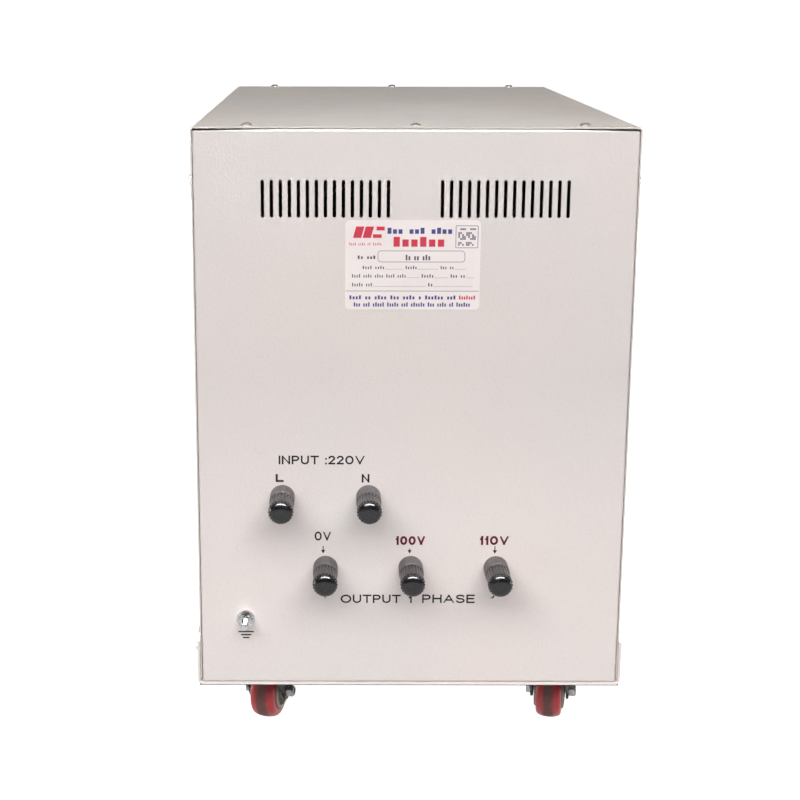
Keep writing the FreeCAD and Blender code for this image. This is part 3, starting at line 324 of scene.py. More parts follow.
def tread_red():
    """Polyurethane tread: red at both shoulders, rubbed brown along the middle, with grit pressed in."""
    finish = Finish("tread_red")
    across = finish.attribute("across")
    ragged = finish.sum("ADD", across, finish.sum("MULTIPLY", finish.noise(170.0, detail=4.0), 0.22))
    reds = [(0.3, (0.56, 0.034, 0.048)), (0.7, (0.68, 0.052, 0.056))]
    browns = [(0.3, (0.185, 0.085, 0.072)), (0.7, (0.235, 0.105, 0.088))]
    red = finish.ramp(finish.noise(60.0, detail=4.0), reds)
    worn = finish.ramp(finish.noise(420.0, detail=4.0), browns)
    colour = finish.blend(finish.ramp(ragged, [(0.38, 0.0), (0.66, 1.0)]), worn, red)
    grit = finish.ramp(finish.cells(900.0), [(0.10, 1.0), (0.20, 0.0)])
    colour = finish.blend(finish.sum("MULTIPLY", grit, 0.3), colour, (0.09, 0.075, 0.06))
    finish.set("Base Color", colour)
    finish.set("Roughness", finish.ramp(ragged, [(0.42, 0.72), (0.62, 0.40)]))
    finish.set("Subsurface Weight", 0.06)
    finish.set("Subsurface Radius", (2 * MM, 0.6 * MM, 0.5 * MM))
    finish.bump((finish.noise(500.0, detail=4.0), 0.12 * MM), (finish.cells(900.0), 0.05 * MM))
    return finish.material


def ink(name, colour, paper):
    """Screen ink: nearly flat, broken by pinholes where it missed the paint's texture."""
    finish = Finish(name)
    holes = finish.ramp(finish.noise(2600.0, detail=2.0), [(0.66, 0.0), (0.80, 0.14)])
    finish.set("Base Color", finish.blend(holes, colour, paper))
    finish.set("Roughness", finish.ramp(finish.noise(900.0), [(0.3, 0.55), (0.7, 0.7)]))
    finish.set("Specular IOR Level", 0.15)
    finish.bump((finish.noise(480.0), 0.1 * MM))
    return finish.material


def sticker_paper():
    """Semi-gloss label stock with a slight cockle and a pink cast."""
    finish = Finish("sticker_paper")
    cast = finish.noise(30.0, detail=3.0)
    finish.set("Base Color", finish.ramp(cast, [(0.3, (0.735, 0.672, 0.662)), (0.7, (0.765, 0.705, 0.695))]))
    finish.set("Roughness", finish.ramp(cast, [(0.3, 0.32), (0.7, 0.42)]))
    finish.bump((finish.noise(45.0, detail=2.0), 0.5 * MM), (finish.noise(1600.0, detail=2.0), 0.02 * MM))
    return finish.material


def copper_turns():
    """Enamelled copper wound round the ring: turns as ridges about the centre bolt, lacquered unevenly."""
    finish = Finish("copper_turns")
    middle = centre("transformer_winding")
    moved = finish.node("VectorMath", operation="SUBTRACT")
    finish.feed(moved.inputs[0], finish.place)
    moved.inputs[1].default_value = (0.0, middle.y, 0.0)
    split = finish.node("SeparateXYZ")
    finish.feed(split.inputs["Vector"], moved.outputs["Vector"])
    angle = finish.sum("ARCTAN2", split.outputs["Y"], split.outputs["X"])
    turn_count = 190.0
    wave = finish.node("Math", operation="SINE")
    finish.feed(wave.inputs[0], finish.sum("MULTIPLY", angle, turn_count))
    ridge = wave.outputs["Value"]
    tone = finish.ramp(ridge, [(0.0, (0.20, 0.065, 0.022)), (0.6, (0.62, 0.25, 0.10))])
    lacquer = finish.noise(40.0, detail=5.0)
    amount = finish.ramp(lacquer, [(0.4, 0.0), (0.8, 0.6)])
    finish.set("Base Color", finish.blend(amount, tone, (0.33, 0.12, 0.03)))
    finish.set("Metallic", 0.75)
    finish.set("Roughness", finish.ramp(lacquer, [(0.3, 0.28), (0.8, 0.5)]))
    finish.set("Coat Weight", 0.5)
    finish.bump((ridge, 0.6 * MM))
    return finish.material


def wound_strip():
    """The core's edge: steel strip wound in fine layers about the centre bolt."""
    finish = Finish("wound_strip")
    middle = centre("transformer_core")
    moved = finish.node("VectorMath", operation="SUBTRACT")
    finish.feed(moved.inputs[0], finish.stretched((1.0, 1.0, 0.0)))
    moved.inputs[1].default_value = (0.0, middle.y, 0.0)
    radius = finish.node("VectorMath", operation="LENGTH")
    finish.feed(radius.inputs[0], moved.outputs["Vector"])
    wave = finish.node("Math", operation="SINE")
    finish.feed(wave.inputs[0], finish.sum("MULTIPLY", radius.outputs["Value"], 2 * math.pi / (0.6 * MM)))
    layers = wave.outputs["Value"]
    finish.set("Base Color", finish.ramp(layers, [(0.0, (0.12, 0.125, 0.14)), (0.8, (0.42, 0.43, 0.45))]))
    finish.set("Metallic", 1.0)
    finish.set("Roughness", finish.ramp(finish.noise(200.0), [(0.3, 0.4), (0.7, 0.6)]))
    finish.bump((layers, 0.1 * MM))
    return finish.material


def striped_insulation(name, colour, stripe, period):
    """PVC insulation with a second colour in bands along the lead."""
    finish = Finish(name)
    along = finish.node("TexWave", wave_type="BANDS", bands_direction="DIAGONAL")
    finish.feed(along.inputs["Vector"], finish.place)
    along.inputs["Scale"].default_value = 1.0 / period
    bands = finish.ramp(along.outputs["Fac"], [(0.62, 0.0), (0.70, 1.0)])
    finish.set("Base Color", finish.blend(bands, colour, stripe))
    finish.set("Roughness", finish.ramp(finish.noise(300.0), [(0.3, 0.38), (0.7, 0.55)]))
    finish.bump((finish.noise(900.0), 0.05 * MM))
    return finish.material


def clear_pane():
    finish = Finish("clear_pane")
    smear = finish.noise(70.0, detail=4.0)
    finish.set("Base Color", finish.ramp(smear, [(0.3, (0.96, 0.98, 0.98)), (0.7, (0.92, 0.95, 0.95))]))
    finish.set("Roughness", finish.ramp(smear, [(0.5, 0.02), (0.8, 0.09)]))
    finish.set("Transmission Weight", 1.0)
    finish.set("IOR", 1.45)
    return finish.material


def lens_red():
    finish = Finish("lens_red")
    depth = finish.noise(300.0, detail=3.0)
    finish.set("Base Color", finish.ramp(depth, [(0.3, (0.46, 0.010, 0.008)), (0.7, (0.66, 0.026, 0.018))]))
    finish.set("Roughness", finish.ramp(depth, [(0.3, 0.08), (0.7, 0.16)]))
    finish.set("Transmission Weight", 0.35)
    finish.set("Coat Weight", 0.6)
    finish.bump((depth, 0.04 * MM))
    return finish.material


CREAM = (0.76, 0.697, 0.679)


def make_finishes():
    """Every finish by name."""
    black_ink = (0.012, 0.010, 0.011)
    return {
        "cream": enamel(
            "cream_enamel",
            CREAM,
            (0.775, 0.700, 0.672),
            (0.735, 0.695, 0.672),
            (0.42, 0.38, 0.34),
            0.10,
            # painted highlight on the tray's front lip, then painted shade darkening the paint up the cabinet
            [(PAINTED_LIP_HIGHLIGHT_TOP, 1.22), (PAINTED_LIP_HIGHLIGHT_TOP + 0.5 * MM, 1.0), (0.10, 1.0), (0.22, 0.93), (0.34, 0.80), (0.53, 0.77)],
        ),
        # the cover's top: the cream paint toned greyer and darker, a painted shade of the top that the front
        # light reaches less, with more dirt
        "grey": enamel(
            "grey_enamel",
            (0.575, 0.535, 0.50),
            (0.59, 0.535, 0.49),
            (0.56, 0.53, 0.505),
            (0.40, 0.37, 0.34),
            0.35,
        ),
        "black_ink": ink("black_ink", black_ink, CREAM),
        "red_ink": ink("red_ink", (0.085, 0.006, 0.014), CREAM),
        "paper": sticker_paper(),
        "sticker_red": ink("sticker_red", (0.53, 0.025, 0.055), (0.75, 0.69, 0.68)),
        "sticker_blue": ink("sticker_blue", (0.050, 0.050, 0.19), (0.75, 0.69, 0.68)),
        "sticker_grey": ink("sticker_grey", (0.085, 0.070, 0.11), (0.75, 0.69, 0.68)),
        "phenolic": moulded("phenolic", (0.007, 0.006, 0.008), (0.048, 0.043, 0.050), 0.12, 0.12, gloss=0.36),
        "collar": moulded("collar_black", (0.046, 0.038, 0.040), (0.145, 0.125, 0.125), 0.40, 0.5, gloss=0.4),
        "gloss_black": moulded("gloss_black", (0.014, 0.014, 0.015), (0.10, 0.095, 0.09), 0.24, 0.2, coat=0.3),
        "toggle_black": moulded("toggle_black", (0.012, 0.012, 0.014), (0.08, 0.08, 0.08), 0.30, 0.2),
        "breaker_grey": moulded(
            "breaker_grey", (0.62, 0.62, 0.60), (0.42, 0.40, 0.37), 0.46, 0.25, grain=2600.0
        ),
        "wheel_core": moulded("wheel_core", (0.38, 0.36, 0.29), (0.52, 0.40, 0.31), 0.50, 0.7),
        "rubber": moulded("pad_rubber", (0.018, 0.018, 0.018), (0.07, 0.065, 0.06), 0.75, 0.5),
        "tread": tread_red(),
        "bright_zinc": metal("bright_zinc", (0.80, 0.80, 0.79), (0.50, 0.50, 0.51), 0.20),
        "sheet_screw": metal("sheet_screw", (0.80, 0.76, 0.72), (0.40, 0.36, 0.33), 0.22, depth=0.01),
        "stud_zinc": metal("stud_zinc", (0.52, 0.52, 0.52), (0.20, 0.20, 0.21), 0.16),
        "axle_zinc": metal("axle_zinc", (0.36, 0.355, 0.34), (0.16, 0.16, 0.16), 0.34),
        "dark_screw": metal("dark_screw", (0.20, 0.18, 0.165), (0.060, 0.052, 0.048), 0.34),
        "fork_zinc": metal(
            "fork_zinc", (0.060, 0.058, 0.056), (0.020, 0.020, 0.021), 0.42, (90.0, 90.0, 500.0)
        ),
        "plate_zinc": metal("plate_zinc", (0.62, 0.60, 0.53), (0.36, 0.35, 0.32), 0.34, (60.0, 400.0, 400.0)),
        "brass": metal("turned_brass", (0.83, 0.60, 0.26), (0.55, 0.36, 0.13), 0.26),
        "tin": metal("lug_tin", (0.78, 0.77, 0.74), (0.52, 0.51, 0.49), 0.30),
        "chrome": metal("lamp_chrome", (0.86, 0.86, 0.87), (0.70, 0.70, 0.72), 0.08, depth=0.005),
        "copper": copper_turns(),
        "strip": wound_strip(),
        "lead_red": striped_insulation("lead_red", (0.42, 0.020, 0.018), (0.34, 0.016, 0.015), 0.5),
        "lead_white": striped_insulation("lead_white", (0.72, 0.71, 0.67), (0.60, 0.59, 0.55), 0.5),
        "lead_green": striped_insulation("lead_green", (0.04, 0.27, 0.05), (0.75, 0.62, 0.03), 0.05),
        "dial": moulded("dial_white", (0.86, 0.85, 0.80), (0.70, 0.68, 0.62), 0.5, 0.1, grain=3000.0),
        "dial_ink": ink("dial_ink", black_ink, (0.86, 0.85, 0.80)),
        "dial_red": ink("dial_red", (0.60, 0.03, 0.02), (0.86, 0.85, 0.80)),
        "white_ink": ink("white_ink", (0.80, 0.80, 0.78), (0.03, 0.03, 0.03)),
        "pane": clear_pane(),
        "lens": lens_red(),
    }


FINISHES = make_finishes()
NODE_FINISHES = {
    "base_tray": "cream",
    # the cream paint with painted shade for the cover's top
    "top_cover": "grey",
    "terminal_panel": "cream",
    "control_panel": "cream",
    "cabinet_screws": "sheet_screw",
    "transformer_core": "strip",
    "transformer_winding": "copper",
    "transformer_pads": "rubber",
    "clamp_dish": "plate_zinc",
    "centre_bolt": "bright_zinc",
    "post_collars": "collar",
    "post_rear_insulators": "collar",
    "post_studs": "brass",
    "post_nuts": "brass",
    "ring_lugs": "tin",
    "earth_studs": "stud_zinc",
    "earth_nuts": "stud_zinc",
    "power_leads": "lead_red",
    "signal_leads": "lead_white",
    "earth_lead": "lead_green",
    "voltmeter_case": "gloss_black",
    "voltmeter_dial": "dial",
    "voltmeter_needle": "dial_ink",
    "voltmeter_window": "pane",
    "voltmeter_zero_screw": "dark_screw",
    "breaker_case": "breaker_grey",
    "breaker_toggle": "toggle_black",
    "din_rail": "plate_zinc",
    "rail_posts": "bright_zinc",
    "pilot_lamp_body": "chrome",
    "pilot_lamp_lens": "lens",
    "caster_plates": "plate_zinc",
    "caster_kingpins": "plate_zinc",
    "caster_bolts": "bright_zinc",
}
for post in POSTS:
    NODE_FINISHES[f"cap_{post}"] = "phenolic"
    NODE_FINISHES[f"cap_insert_{post}"] = "brass"
for caster in CASTERS:
    NODE_FINISHES[f"caster_fork_{caster}"] = "fork_zinc"
    NODE_FINISHES[f"caster_axle_{caster}"] = "axle_zinc"
    NODE_FINISHES[f"wheel_core_{caster}"] = "wheel_core"
    NODE_FINISHES[f"wheel_tyre_{caster}"] = "tread"


def finish_nodes():
    for name, node in NODES.items():
        node.data.materials.clear()
        node.data.materials.append(FINISHES[NODE_FINISHES[name]])


# ---------------------------------------------------------------- mesh making
def piece(name, mesh, body, finish, replaces=()):
    """Adds a finished mesh to the scene on its body and the CAD nodes it stands for."""
    made = bpy.data.objects.new(name, mesh)
    bpy.context.scene.collection.objects.link(made)
    if finish:
        mesh.materials.append(FINISHES[finish])
    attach(made, body)
    if replaces:
        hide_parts(*replaces)
    return made


def mesh_from(build, name, smooth_angle=40.0):
    """A mesh from a function that fills a bmesh, shaded smooth below an angle."""
    shape = bmesh.new()
    build(shape)
    bmesh.ops.recalc_face_normals(shape, faces=shape.faces)
    limit = math.radians(smooth_angle)
    for face in shape.faces:
        face.smooth = True
    for edge in shape.edges:
        edge.smooth = len(edge.link_faces) == 2 and edge.calc_face_angle(0.0) < limit
    mesh = bpy.data.meshes.new(name)
    shape.to_mesh(mesh)
    shape.free()
    return mesh


def arc(middle, radius, start, end, steps):
    """Points (r, h) on an arc in a lathe's outline, with its angles in degrees from the outward direction."""
    points = []
    for i in range(steps + 1):
        angle = math.radians(start + (end - start) * i / steps)
        points.append((middle[0] + radius * math.cos(angle), middle[1] + radius * math.sin(angle)))
    return points


def turn(shape, outline, place, segments=96, closed=False, reach=None, across=None):
    """Turns an outline of (radius, height) about z into a bmesh, through the matrix place.

    reach(index, turn) scales the radius at each point of the outline. across names a float layer that takes
    the height's share of its greatest size, from -1 to 1.
    """
    rows = []
    peak = max(abs(h) for _, h in outline)
    layer = shape.verts.layers.float.get(across) if across else None
    for index, (radius, height) in enumerate(outline):
        if radius < 1e-7:
            row = [shape.verts.new(place @ Vector((0, 0, height)))]
        else:
            row = []
            for i in range(segments):
                share = i / segments
                r = radius * (reach(index, share) if reach else 1.0)
                angle = 2 * math.pi * share
                row.append(shape.verts.new(place @ Vector((r * math.cos(angle), r * math.sin(angle), height))))
        if layer:
            for vertex in row:
                vertex[layer] = abs(height) / peak
        rows.append(row)
    pairs = list(zip(rows, rows[1:]))
    if closed:
        pairs.append((rows[-1], rows[0]))
    for low, high in pairs:
        for i in range(segments):
            j = (i + 1) % segments
            if len(low) == 1 and len(high) == 1:
                continue
            if len(low) == 1:
                shape.faces.new((low[0], high[j], high[i]))
            elif len(high) == 1:
                shape.faces.new((low[i], low[j], high[0]))
            else:
                shape.faces.new((low[i], low[j], high[j], high[i]))


def along(place, axis):
    """The matrix that stands a lathe's z along axis, from the point place."""
    return Matrix.Translation(place) @ Vector((0, 0, 1)).rotation_difference(Vector(axis)).to_matrix().to_4x4()


def slab(shape, outline, place, thickness):
    """A flat plate on a closed outline of (x, y) points, raised along z, through the matrix place."""
    low = [shape.verts.new(place @ Vector((x, y, 0))) for x, y in outline]
    high = [shape.verts.new(place @ Vector((x, y, thickness))) for x, y in outline]
    shape.faces.new(list(reversed(low)))
    shape.faces.new(high)
    for i in range(len(outline)):
        j = (i + 1) % len(outline)
        shape.faces.new((low[i], low[j], high[j], high[i]))


def round_rect(x0, y0, x1, y1, radius, steps=6):
    """A rectangle's outline with round corners."""
    points = []
    for cx, cy, start in ((x1, y1, 0), (x0, y1, 90), (x0, y0, 180), (x1, y0, 270)):
        inner = (cx - math.copysign(radius, cx - (x0 + x1) / 2), cy - math.copysign(radius, cy - (y0 + y1) / 2))
        points += arc(inner, radius, start, start + 90, steps)
    return points


# ---------------------------------------------------------------- binding posts
CAP_RADIUS = 10.0 * MM
RIB_COUNT = 22


def cap_outline(bore, far):
    """(radius, height, rib depth) along a cap, from its bore's mouth to the middle of its domed front."""
    dome, dome_foot = 5.0 * MM, 9.3 * MM
    rim = far - dome
    rib = 0.75 * MM
    points = [
        (bore, 0.0, 0.0),
        (9.2 * MM, 0.0, 0.0),
        (9.5 * MM, 0.3 * MM, 0.0),
        (9.5 * MM, 1.0 * MM, rib * 0.2),
        (9.45 * MM, 1.9 * MM, rib * 0.8),
        (9.45 * MM, 3.0 * MM, rib),
        (9.6 * MM, 9.0 * MM, rib),
        (9.8 * MM, rim - 5.0 * MM, rib),
        (CAP_RADIUS, rim - 1.4 * MM, rib),
        (CAP_RADIUS, rim - 0.5 * MM, rib),
        (9.9 * MM, rim - 0.1 * MM, rib * 0.95),
        (9.72 * MM, rim + 0.05 * MM, rib * 0.7),
    ]
    squareness = 2 / 2.6
    steps = 28
    for i in range(steps + 1):
        angle = math.pi / 2 * i / steps
        radius = dome_foot * math.cos(angle) ** squareness
        points.append((radius, rim + dome * math.sin(angle) ** squareness, 0.0))
    points[-1] = (0.0, far, 0.0)
    return points


def add_cap(post):
    """A ribbed binding-post cap with a domed end. It stands for the plainer CAD cap and is hollow behind."""
    low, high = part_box(f"cap_{post}")
    insert_low, insert_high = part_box(f"cap_insert_{post}")
    middle = (low + high) / 2
    seat = (insert_high.x - insert_low.x) / 2 + 0.05 * MM
    clearance = 4.4 * MM
    seat_end = high.y - insert_low.y + 0.1 * MM
    bore_end = seat_end + 1.8 * MM
    outline = cap_outline(seat, high.y - low.y)
    inside = [(seat, 0.0), (seat, seat_end), (clearance, seat_end), (clearance, bore_end), (0.0, bore_end)]

    def reach(index, share):
        radius, _, depth = outline[index]
        wave = 0.5 - 0.5 * math.cos(2 * math.pi * RIB_COUNT * share)
        return 1.0 - depth / max(radius, 1e-6) * wave**1.8

    def build(shape):
        stand = along((middle.x, high.y, middle.z), (0, -1, 0))
        turn(shape, [(r, h) for r, h, _ in outline], stand, RIB_COUNT * 10, reach=reach)
        turn(shape, inside, stand, RIB_COUNT * 10)
        bmesh.ops.remove_doubles(shape, verts=shape.verts, dist=1e-6)

    mesh = mesh_from(build, f"ribbed_cap_{post}", 50.0)
    piece(f"ribbed_cap_{post}", mesh, f"cap_{post}", "phenolic", [f"cap_{post}"])


def add_collars():
    """The five collars against the panel, each with a moulded tick at its top and a black ring at its front
    that paints the shadow in the gap under its cap.
    """
    depth = PANEL_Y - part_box("post_collars")[0].y
    radius, bore, edge = 10.0 * MM, 4.2 * MM, 0.35 * MM
    front = depth - 0.8 * MM

    def stand(post):
        middle = centre(f"cap_{post}")
        return along((middle.x, PANEL_Y, middle.z), (0, -1, 0))

    def build(shape):
        for post in POSTS:
            outline = [(bore, 0.0), (radius - 0.2 * MM, 0.0), (radius, 0.2 * MM)]
            outline += arc((radius - edge, front - edge), edge, 0, 90, 4) + [(bore, front)]
            turn(shape, outline, stand(post), 96, closed=True)
            middle = centre(f"cap_{post}")
            top = (middle.x, PANEL_Y - depth + 3.6 * MM, middle.z + radius - 0.25 * MM)
            tick = Matrix.Translation(top) @ FACING
            slab(shape, round_rect(-0.55 * MM, 0.0, 0.55 * MM, 0.5 * MM, 0.2 * MM, 3), tick, 2.6 * MM)

    # a black ring at each collar's front: painted shadow of the dark gap between collar and cap
    def build_gap_shade_rings(shape):
        outline = [(bore + edge, front - edge), (9.5 * MM, front - edge), (9.5 * MM, depth - 0.2 * MM)]
        outline += [(9.3 * MM, depth), (7.6 * MM, depth), (bore + edge, depth - 0.6 * MM)]
        for post in POSTS:
            turn(shape, outline, stand(post), 96, closed=True)

    collars = mesh_from(build, "turned_collars")
    piece("turned_collars", collars, "cabinet", "collar", ["post_collars"])
    piece("collar_gap_shade_rings", mesh_from(build_gap_shade_rings, "collar_gap_shade_rings"), "cabinet", "rubber")


# ---------------------------------------------------------------- earth stud
def thread_reach(pitch, depth, radius, outline):
    """How far a helical thread cuts in at each point of a lathe's outline."""

    def reach(index, share):
        phase = (outline[index][1] / pitch - share) % 1.0
        return 1.0 - depth / radius * (1.0 - abs(2.0 * phase - 1.0))

    return reach


def threaded_rod(shape, place, axis, radius, length, pitch):
    """A rod with a helical thread and a bevelled end."""
    steps = int(length / pitch * 8)
    outline = [(0.0, 0.0), (radius * 0.99, 0.0)]
    outline += [(radius, length * i / steps) for i in range(1, steps)]
    outline += [(radius * 0.84, length), (0.0, length)]
    reach = thread_reach(pitch, 0.55 * pitch, radius, outline)
    turn(shape, outline, along(place, axis), 40, reach=reach)


def hex_head(shape, place, axis, across, height):
    """A hexagon with both faces' corners turned off, on a lathe's axis."""
    corner = across / math.sqrt(3)
    outline = [
        (0.0, 0.0),
        (across / 2 * 0.98, 0.0),
        (corner, height * 0.16),
        (corner, height * 0.84),
        (across / 2 * 0.98, height),
        (0.0, height),
    ]

    def reach(index, share):
        radius = outline[index][0]
        side = (share * 6.0) % 1.0 - 0.5
        limit = across / 2 / math.cos(side * math.pi / 3)
        return min(1.0, limit / max(radius, 1e-6))

    turn(shape, outline, along(place, axis), 72, reach=reach)


def add_earth_studs():
    """The threaded earth stud through the panel, and the bolt that bonds its lead to the tray."""
    low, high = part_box("earth_studs")
    x = low.x + 5.77 * MM
    head, radius, pitch = 4.0 * MM, 3.0 * MM, 1.0 * MM
    stud_z = high.z - 5.0 * MM
    head_y = PANEL_Y + 2.7 * MM
    tray_bolt = (x, high.y - 5.0 * MM, TRAY_FOOT)

    def build(shape):
        threaded_rod(shape, (x, head_y, stud_z), (0, -1, 0), radius, head_y - low.y, pitch)
        hex_head(shape, (x, head_y, stud_z), (0, 1, 0), 10.0 * MM, head)
        threaded_rod(shape, tray_bolt, (0, 0, 1), radius, 18.0 * MM, pitch)
        hex_head(shape, tray_bolt, (0, 0, -1), 10.0 * MM, head)

    mesh = mesh_from(build, "threaded_studs", 35.0)
    piece("threaded_studs", mesh, "cabinet", "stud_zinc", ["earth_studs"])


# ---------------------------------------------------------------- casters
def wheel_frame(caster):
    """The matrix of a wheel: its centre, with z along its axle."""
    joint = JOINTS[f"roll_{caster}"]
    return along(Vector(joint["pos_m"]), joint["axis"])


def add_tyre(caster):
    """The crowned tread with a small step where it meets its core at each side."""
    radius = 25.0 * MM
    half = 11.2 * MM
    seat = 16.62 * MM
    side = [
        (seat, half - 0.5 * MM),
        (seat + 0.5 * MM, half - 0.1 * MM),
        (19.0 * MM, half),
        (20.6 * MM, half - 0.1 * MM),
        (21.9 * MM, half - 0.6 * MM),
        (23.0 * MM, half - 1.6 * MM),
        (23.8 * MM, half - 3.2 * MM),
        (24.45 * MM, half - 5.4 * MM),
        (24.85 * MM, half - 8.2 * MM),
        (radius - 0.02 * MM, 0.0),
    ]
    mirrored = [(r, -h) for r, h in reversed(side[:-1])]

    def build(shape):
        shape.verts.layers.float.new("across")
        turn(shape, side + mirrored, wheel_frame(caster), 128, closed=True, across="across")

    mesh = mesh_from(build, f"tread_{caster}", 60.0)
    piece(f"tread_{caster}", mesh, f"wheel_{caster}", "tread", [f"wheel_tyre_{caster}"])


def add_wheel_core(caster):
    """The moulded core: hub, web with ribs, and the rim that the tread sits on."""
    half, rim_half = 13.8 * MM, 13.2 * MM
    half_outline = [
        (3.08 * MM, half),
        (6.6 * MM, half),
        (7.0 * MM, half - 0.3 * MM),
        (7.5 * MM, half - 2.0 * MM),
        (8.1 * MM, 6.2 * MM),
        (8.6 * MM, 5.6 * MM),
        (12.6 * MM, 5.2 * MM),
        (13.2 * MM, 5.8 * MM),
        (13.6 * MM, rim_half - 1.0 * MM),
        (13.9 * MM, rim_half - 0.2 * MM),
        (14.4 * MM, rim_half),
        (15.3 * MM, rim_half),
        (16.0 * MM, rim_half - 0.3 * MM),
        (16.4 * MM, rim_half - 1.1 * MM),
        (16.58 * MM, 10.7 * MM),
    ]
    outline = half_outline + [(r, -h) for r, h in reversed(half_outline)]
    ribs = 6

    def build(shape):
        stand = wheel_frame(caster)
        turn(shape, outline, stand, 96, closed=True)
        for i in range(ribs):
            for face in (1, -1):
                spin = Matrix.Rotation(2 * math.pi * i / ribs, 4, "Z")
                lift = Matrix.Translation((0, 0, face * 5.0 * MM))
                flip = Matrix.Rotation(0 if face > 0 else math.pi, 4, "X")
                root, tip = 7.7 * MM, 13.4 * MM
                rib = [(root, -0.9 * MM), (tip, -0.7 * MM), (tip, 0.7 * MM), (root, 0.9 * MM)]
                slab(shape, rib, stand @ spin @ lift @ flip, 6.6 * MM)

    mesh = mesh_from(build, f"ribbed_core_{caster}")
    core = f"wheel_core_{caster}"
    piece(f"ribbed_core_{caster}", mesh, f"wheel_{caster}", "wheel_core", [core])


# ---------------------------------------------------------------- lettering
def bend(x, y, rx, ry, start, end, steps=14):
    """Points on an elliptic arc in a letter's unit square."""
    angles = [math.radians(start + (end - start) * i / steps) for i in range(steps + 1)]
    return [(x + rx * math.cos(angle), y + ry * math.sin(angle)) for angle in angles]


# letter: (width as a share of its height, centre lines of its strokes in a unit square)
LETTERS = {
    "I": (0.14, [[(0.5, 0), (0.5, 1)]]),
    "N": (0.74, [[(0, 0), (0, 1)], [(0, 1), (1, 0)], [(1, 0), (1, 1)]]),
    "P": (
        0.68,
        [
            [(0, 0), (0, 1)],
            [(0, 1), (0.55, 1)] + bend(0.55, 0.73, 0.45, 0.27, 80, -80) + [(0.55, 0.46), (0, 0.46)],
        ],
    ),
    "U": (0.72, [[(0, 1), (0, 0.36)] + bend(0.5, 0.36, 0.5, 0.36, 190, 350) + [(1, 0.36), (1, 1)]]),
    "T": (0.74, [[(0, 1), (1, 1)], [(0.5, 0), (0.5, 1)]]),
    ":": (0.14, [[(0.5, 0), (0.5, 0.01)], [(0.5, 0.66), (0.5, 0.67)]]),
    "V": (0.84, [[(0, 1), (0.5, 0)], [(0.5, 0), (1, 1)]]),
    "L": (0.60, [[(0, 0), (0, 1)], [(0, 0), (1, 0)]]),
    "O": (0.92, [bend(0.5, 0.5, 0.5, 0.5, 0, 360, 32)]),
    "H": (0.74, [[(0, 0), (0, 1)], [(1, 0), (1, 1)], [(0, 0.53), (1, 0.53)]]),
    "A": (0.86, [[(0, 0), (0.5, 1)], [(0.5, 1), (1, 0)], [(0.2, 0.33), (0.8, 0.33)]]),
    "S": (0.70, [bend(0.5, 0.755, 0.48, 0.245, 25, 262) + bend(0.5, 0.255, 0.5, 0.255, 82, -158)]),
    "E": (0.66, [[(0, 0), (0, 1)], [(0, 1), (1, 1)], [(0, 0.53), (0.9, 0.53)], [(0, 0), (1, 0)]]),
    "0": (0.74, [bend(0.5, 0.5, 0.5, 0.5, 0, 360, 32)]),
    "1": (0.34, [[(1, 0), (1, 1)], [(1, 0.97), (0.1, 0.70)]]),
    "2": (0.62, [bend(0.5, 0.73, 0.48, 0.27, 165, -25) + [(0, 0)], [(0, 0), (1, 0)]]),
    "3": (0.62, [bend(0.47, 0.76, 0.45, 0.24, 160, -85), bend(0.47, 0.26, 0.5, 0.26, 85, -160)]),
}
LETTER_GAP = 0.13  # between letters, as a share of their height
WORD_GAP = 0.30  # a space's own width


def band(shape, points, width, place, thickness, limits):
    """A stroke of constant width on a centre line, raised along z through place and cut off at limits."""
    closed = math.dist(points[0], points[-1]) < 1e-9
    line = [Vector(point) for point in (points[:-1] if closed else points)]
    count = len(line)
    rows = []
    for i, point in enumerate(line):
        before = line[i - 1] if closed or i > 0 else None
        after = line[(i + 1) % count] if closed or i < count - 1 else None
        arriving = (point - before).normalized() if before else (after - point).normalized()
        leaving = (after - point).normalized() if after else arriving
        if before is None:
            point = point - leaving * width / 2
        if after is None:
            point = point + arriving * width / 2
        middle = (arriving + leaving).normalized()
        side = Vector((-middle.y, middle.x)) * (width / 2 / max(0.5, middle.dot(arriving)))
        row = []
        for x, y in (point + side, point - side):
            x = min(max(x, limits[0]), limits[2])
            y = min(max(y, limits[1]), limits[3])
            row.append([shape.verts.new(place @ Vector((x, y, z))) for z in (0, thickness)])
        rows.append(row)
    pairs = list(zip(rows, rows[1:]))
    if closed:
        pairs.append((rows[-1], rows[0]))
    for (left, right), (next_left, next_right) in pairs:
        shape.faces.new((left[1], right[1], next_right[1], next_left[1]))
        shape.faces.new((left[0], next_left[0], next_right[0], right[0]))
        shape.faces.new((left[0], left[1], next_left[1], next_left[0]))
        shape.faces.new((right[1], right[0], next_right[0], next_right[1]))
    if not closed:
        for left, right in (rows[0], rows[-1]):
            shape.faces.new((left[0], right[0], right[1], left[1]))


def draw_text(shape, text, box, weight, stand):
    """Draws a text to fill a box (x0, y0, x1, y1) of the stand's plane, in strokes of one weight."""
    x0, y0, x1, y1 = box
    height = y1 - y0
    shares = [WORD_GAP if letter == " " else LETTERS[letter][0] for letter in text]
    stretch = (x1 - x0) / (sum(shares) + LETTER_GAP * (len(text) - 1))
    left = x0
    for letter, share in zip(text, shares):
        width = share * stretch
        if letter != " ":
            limits = (left + min(0.0, width - weight) / 2, y0, left + max(width, (width + weight) / 2), y1)
            for index, stroke in enumerate(LETTERS[letter][1]):
                inset = weight / 2
                line = [
                    (left + inset + u * (width - weight), y0 + inset + v * (height - weight)) for u, v in stroke
                ]
                band(shape, line, weight, stand, PRINT * (1 + 0.04 * index), limits)
        left += width + LETTER_GAP * stretch


# ---------------------------------------------------------------- print on the terminal panel
PANEL_PRINT = Matrix.Translation((0, PANEL_Y - 0.01 * MM, TRAY_FOOT)) @ FACING
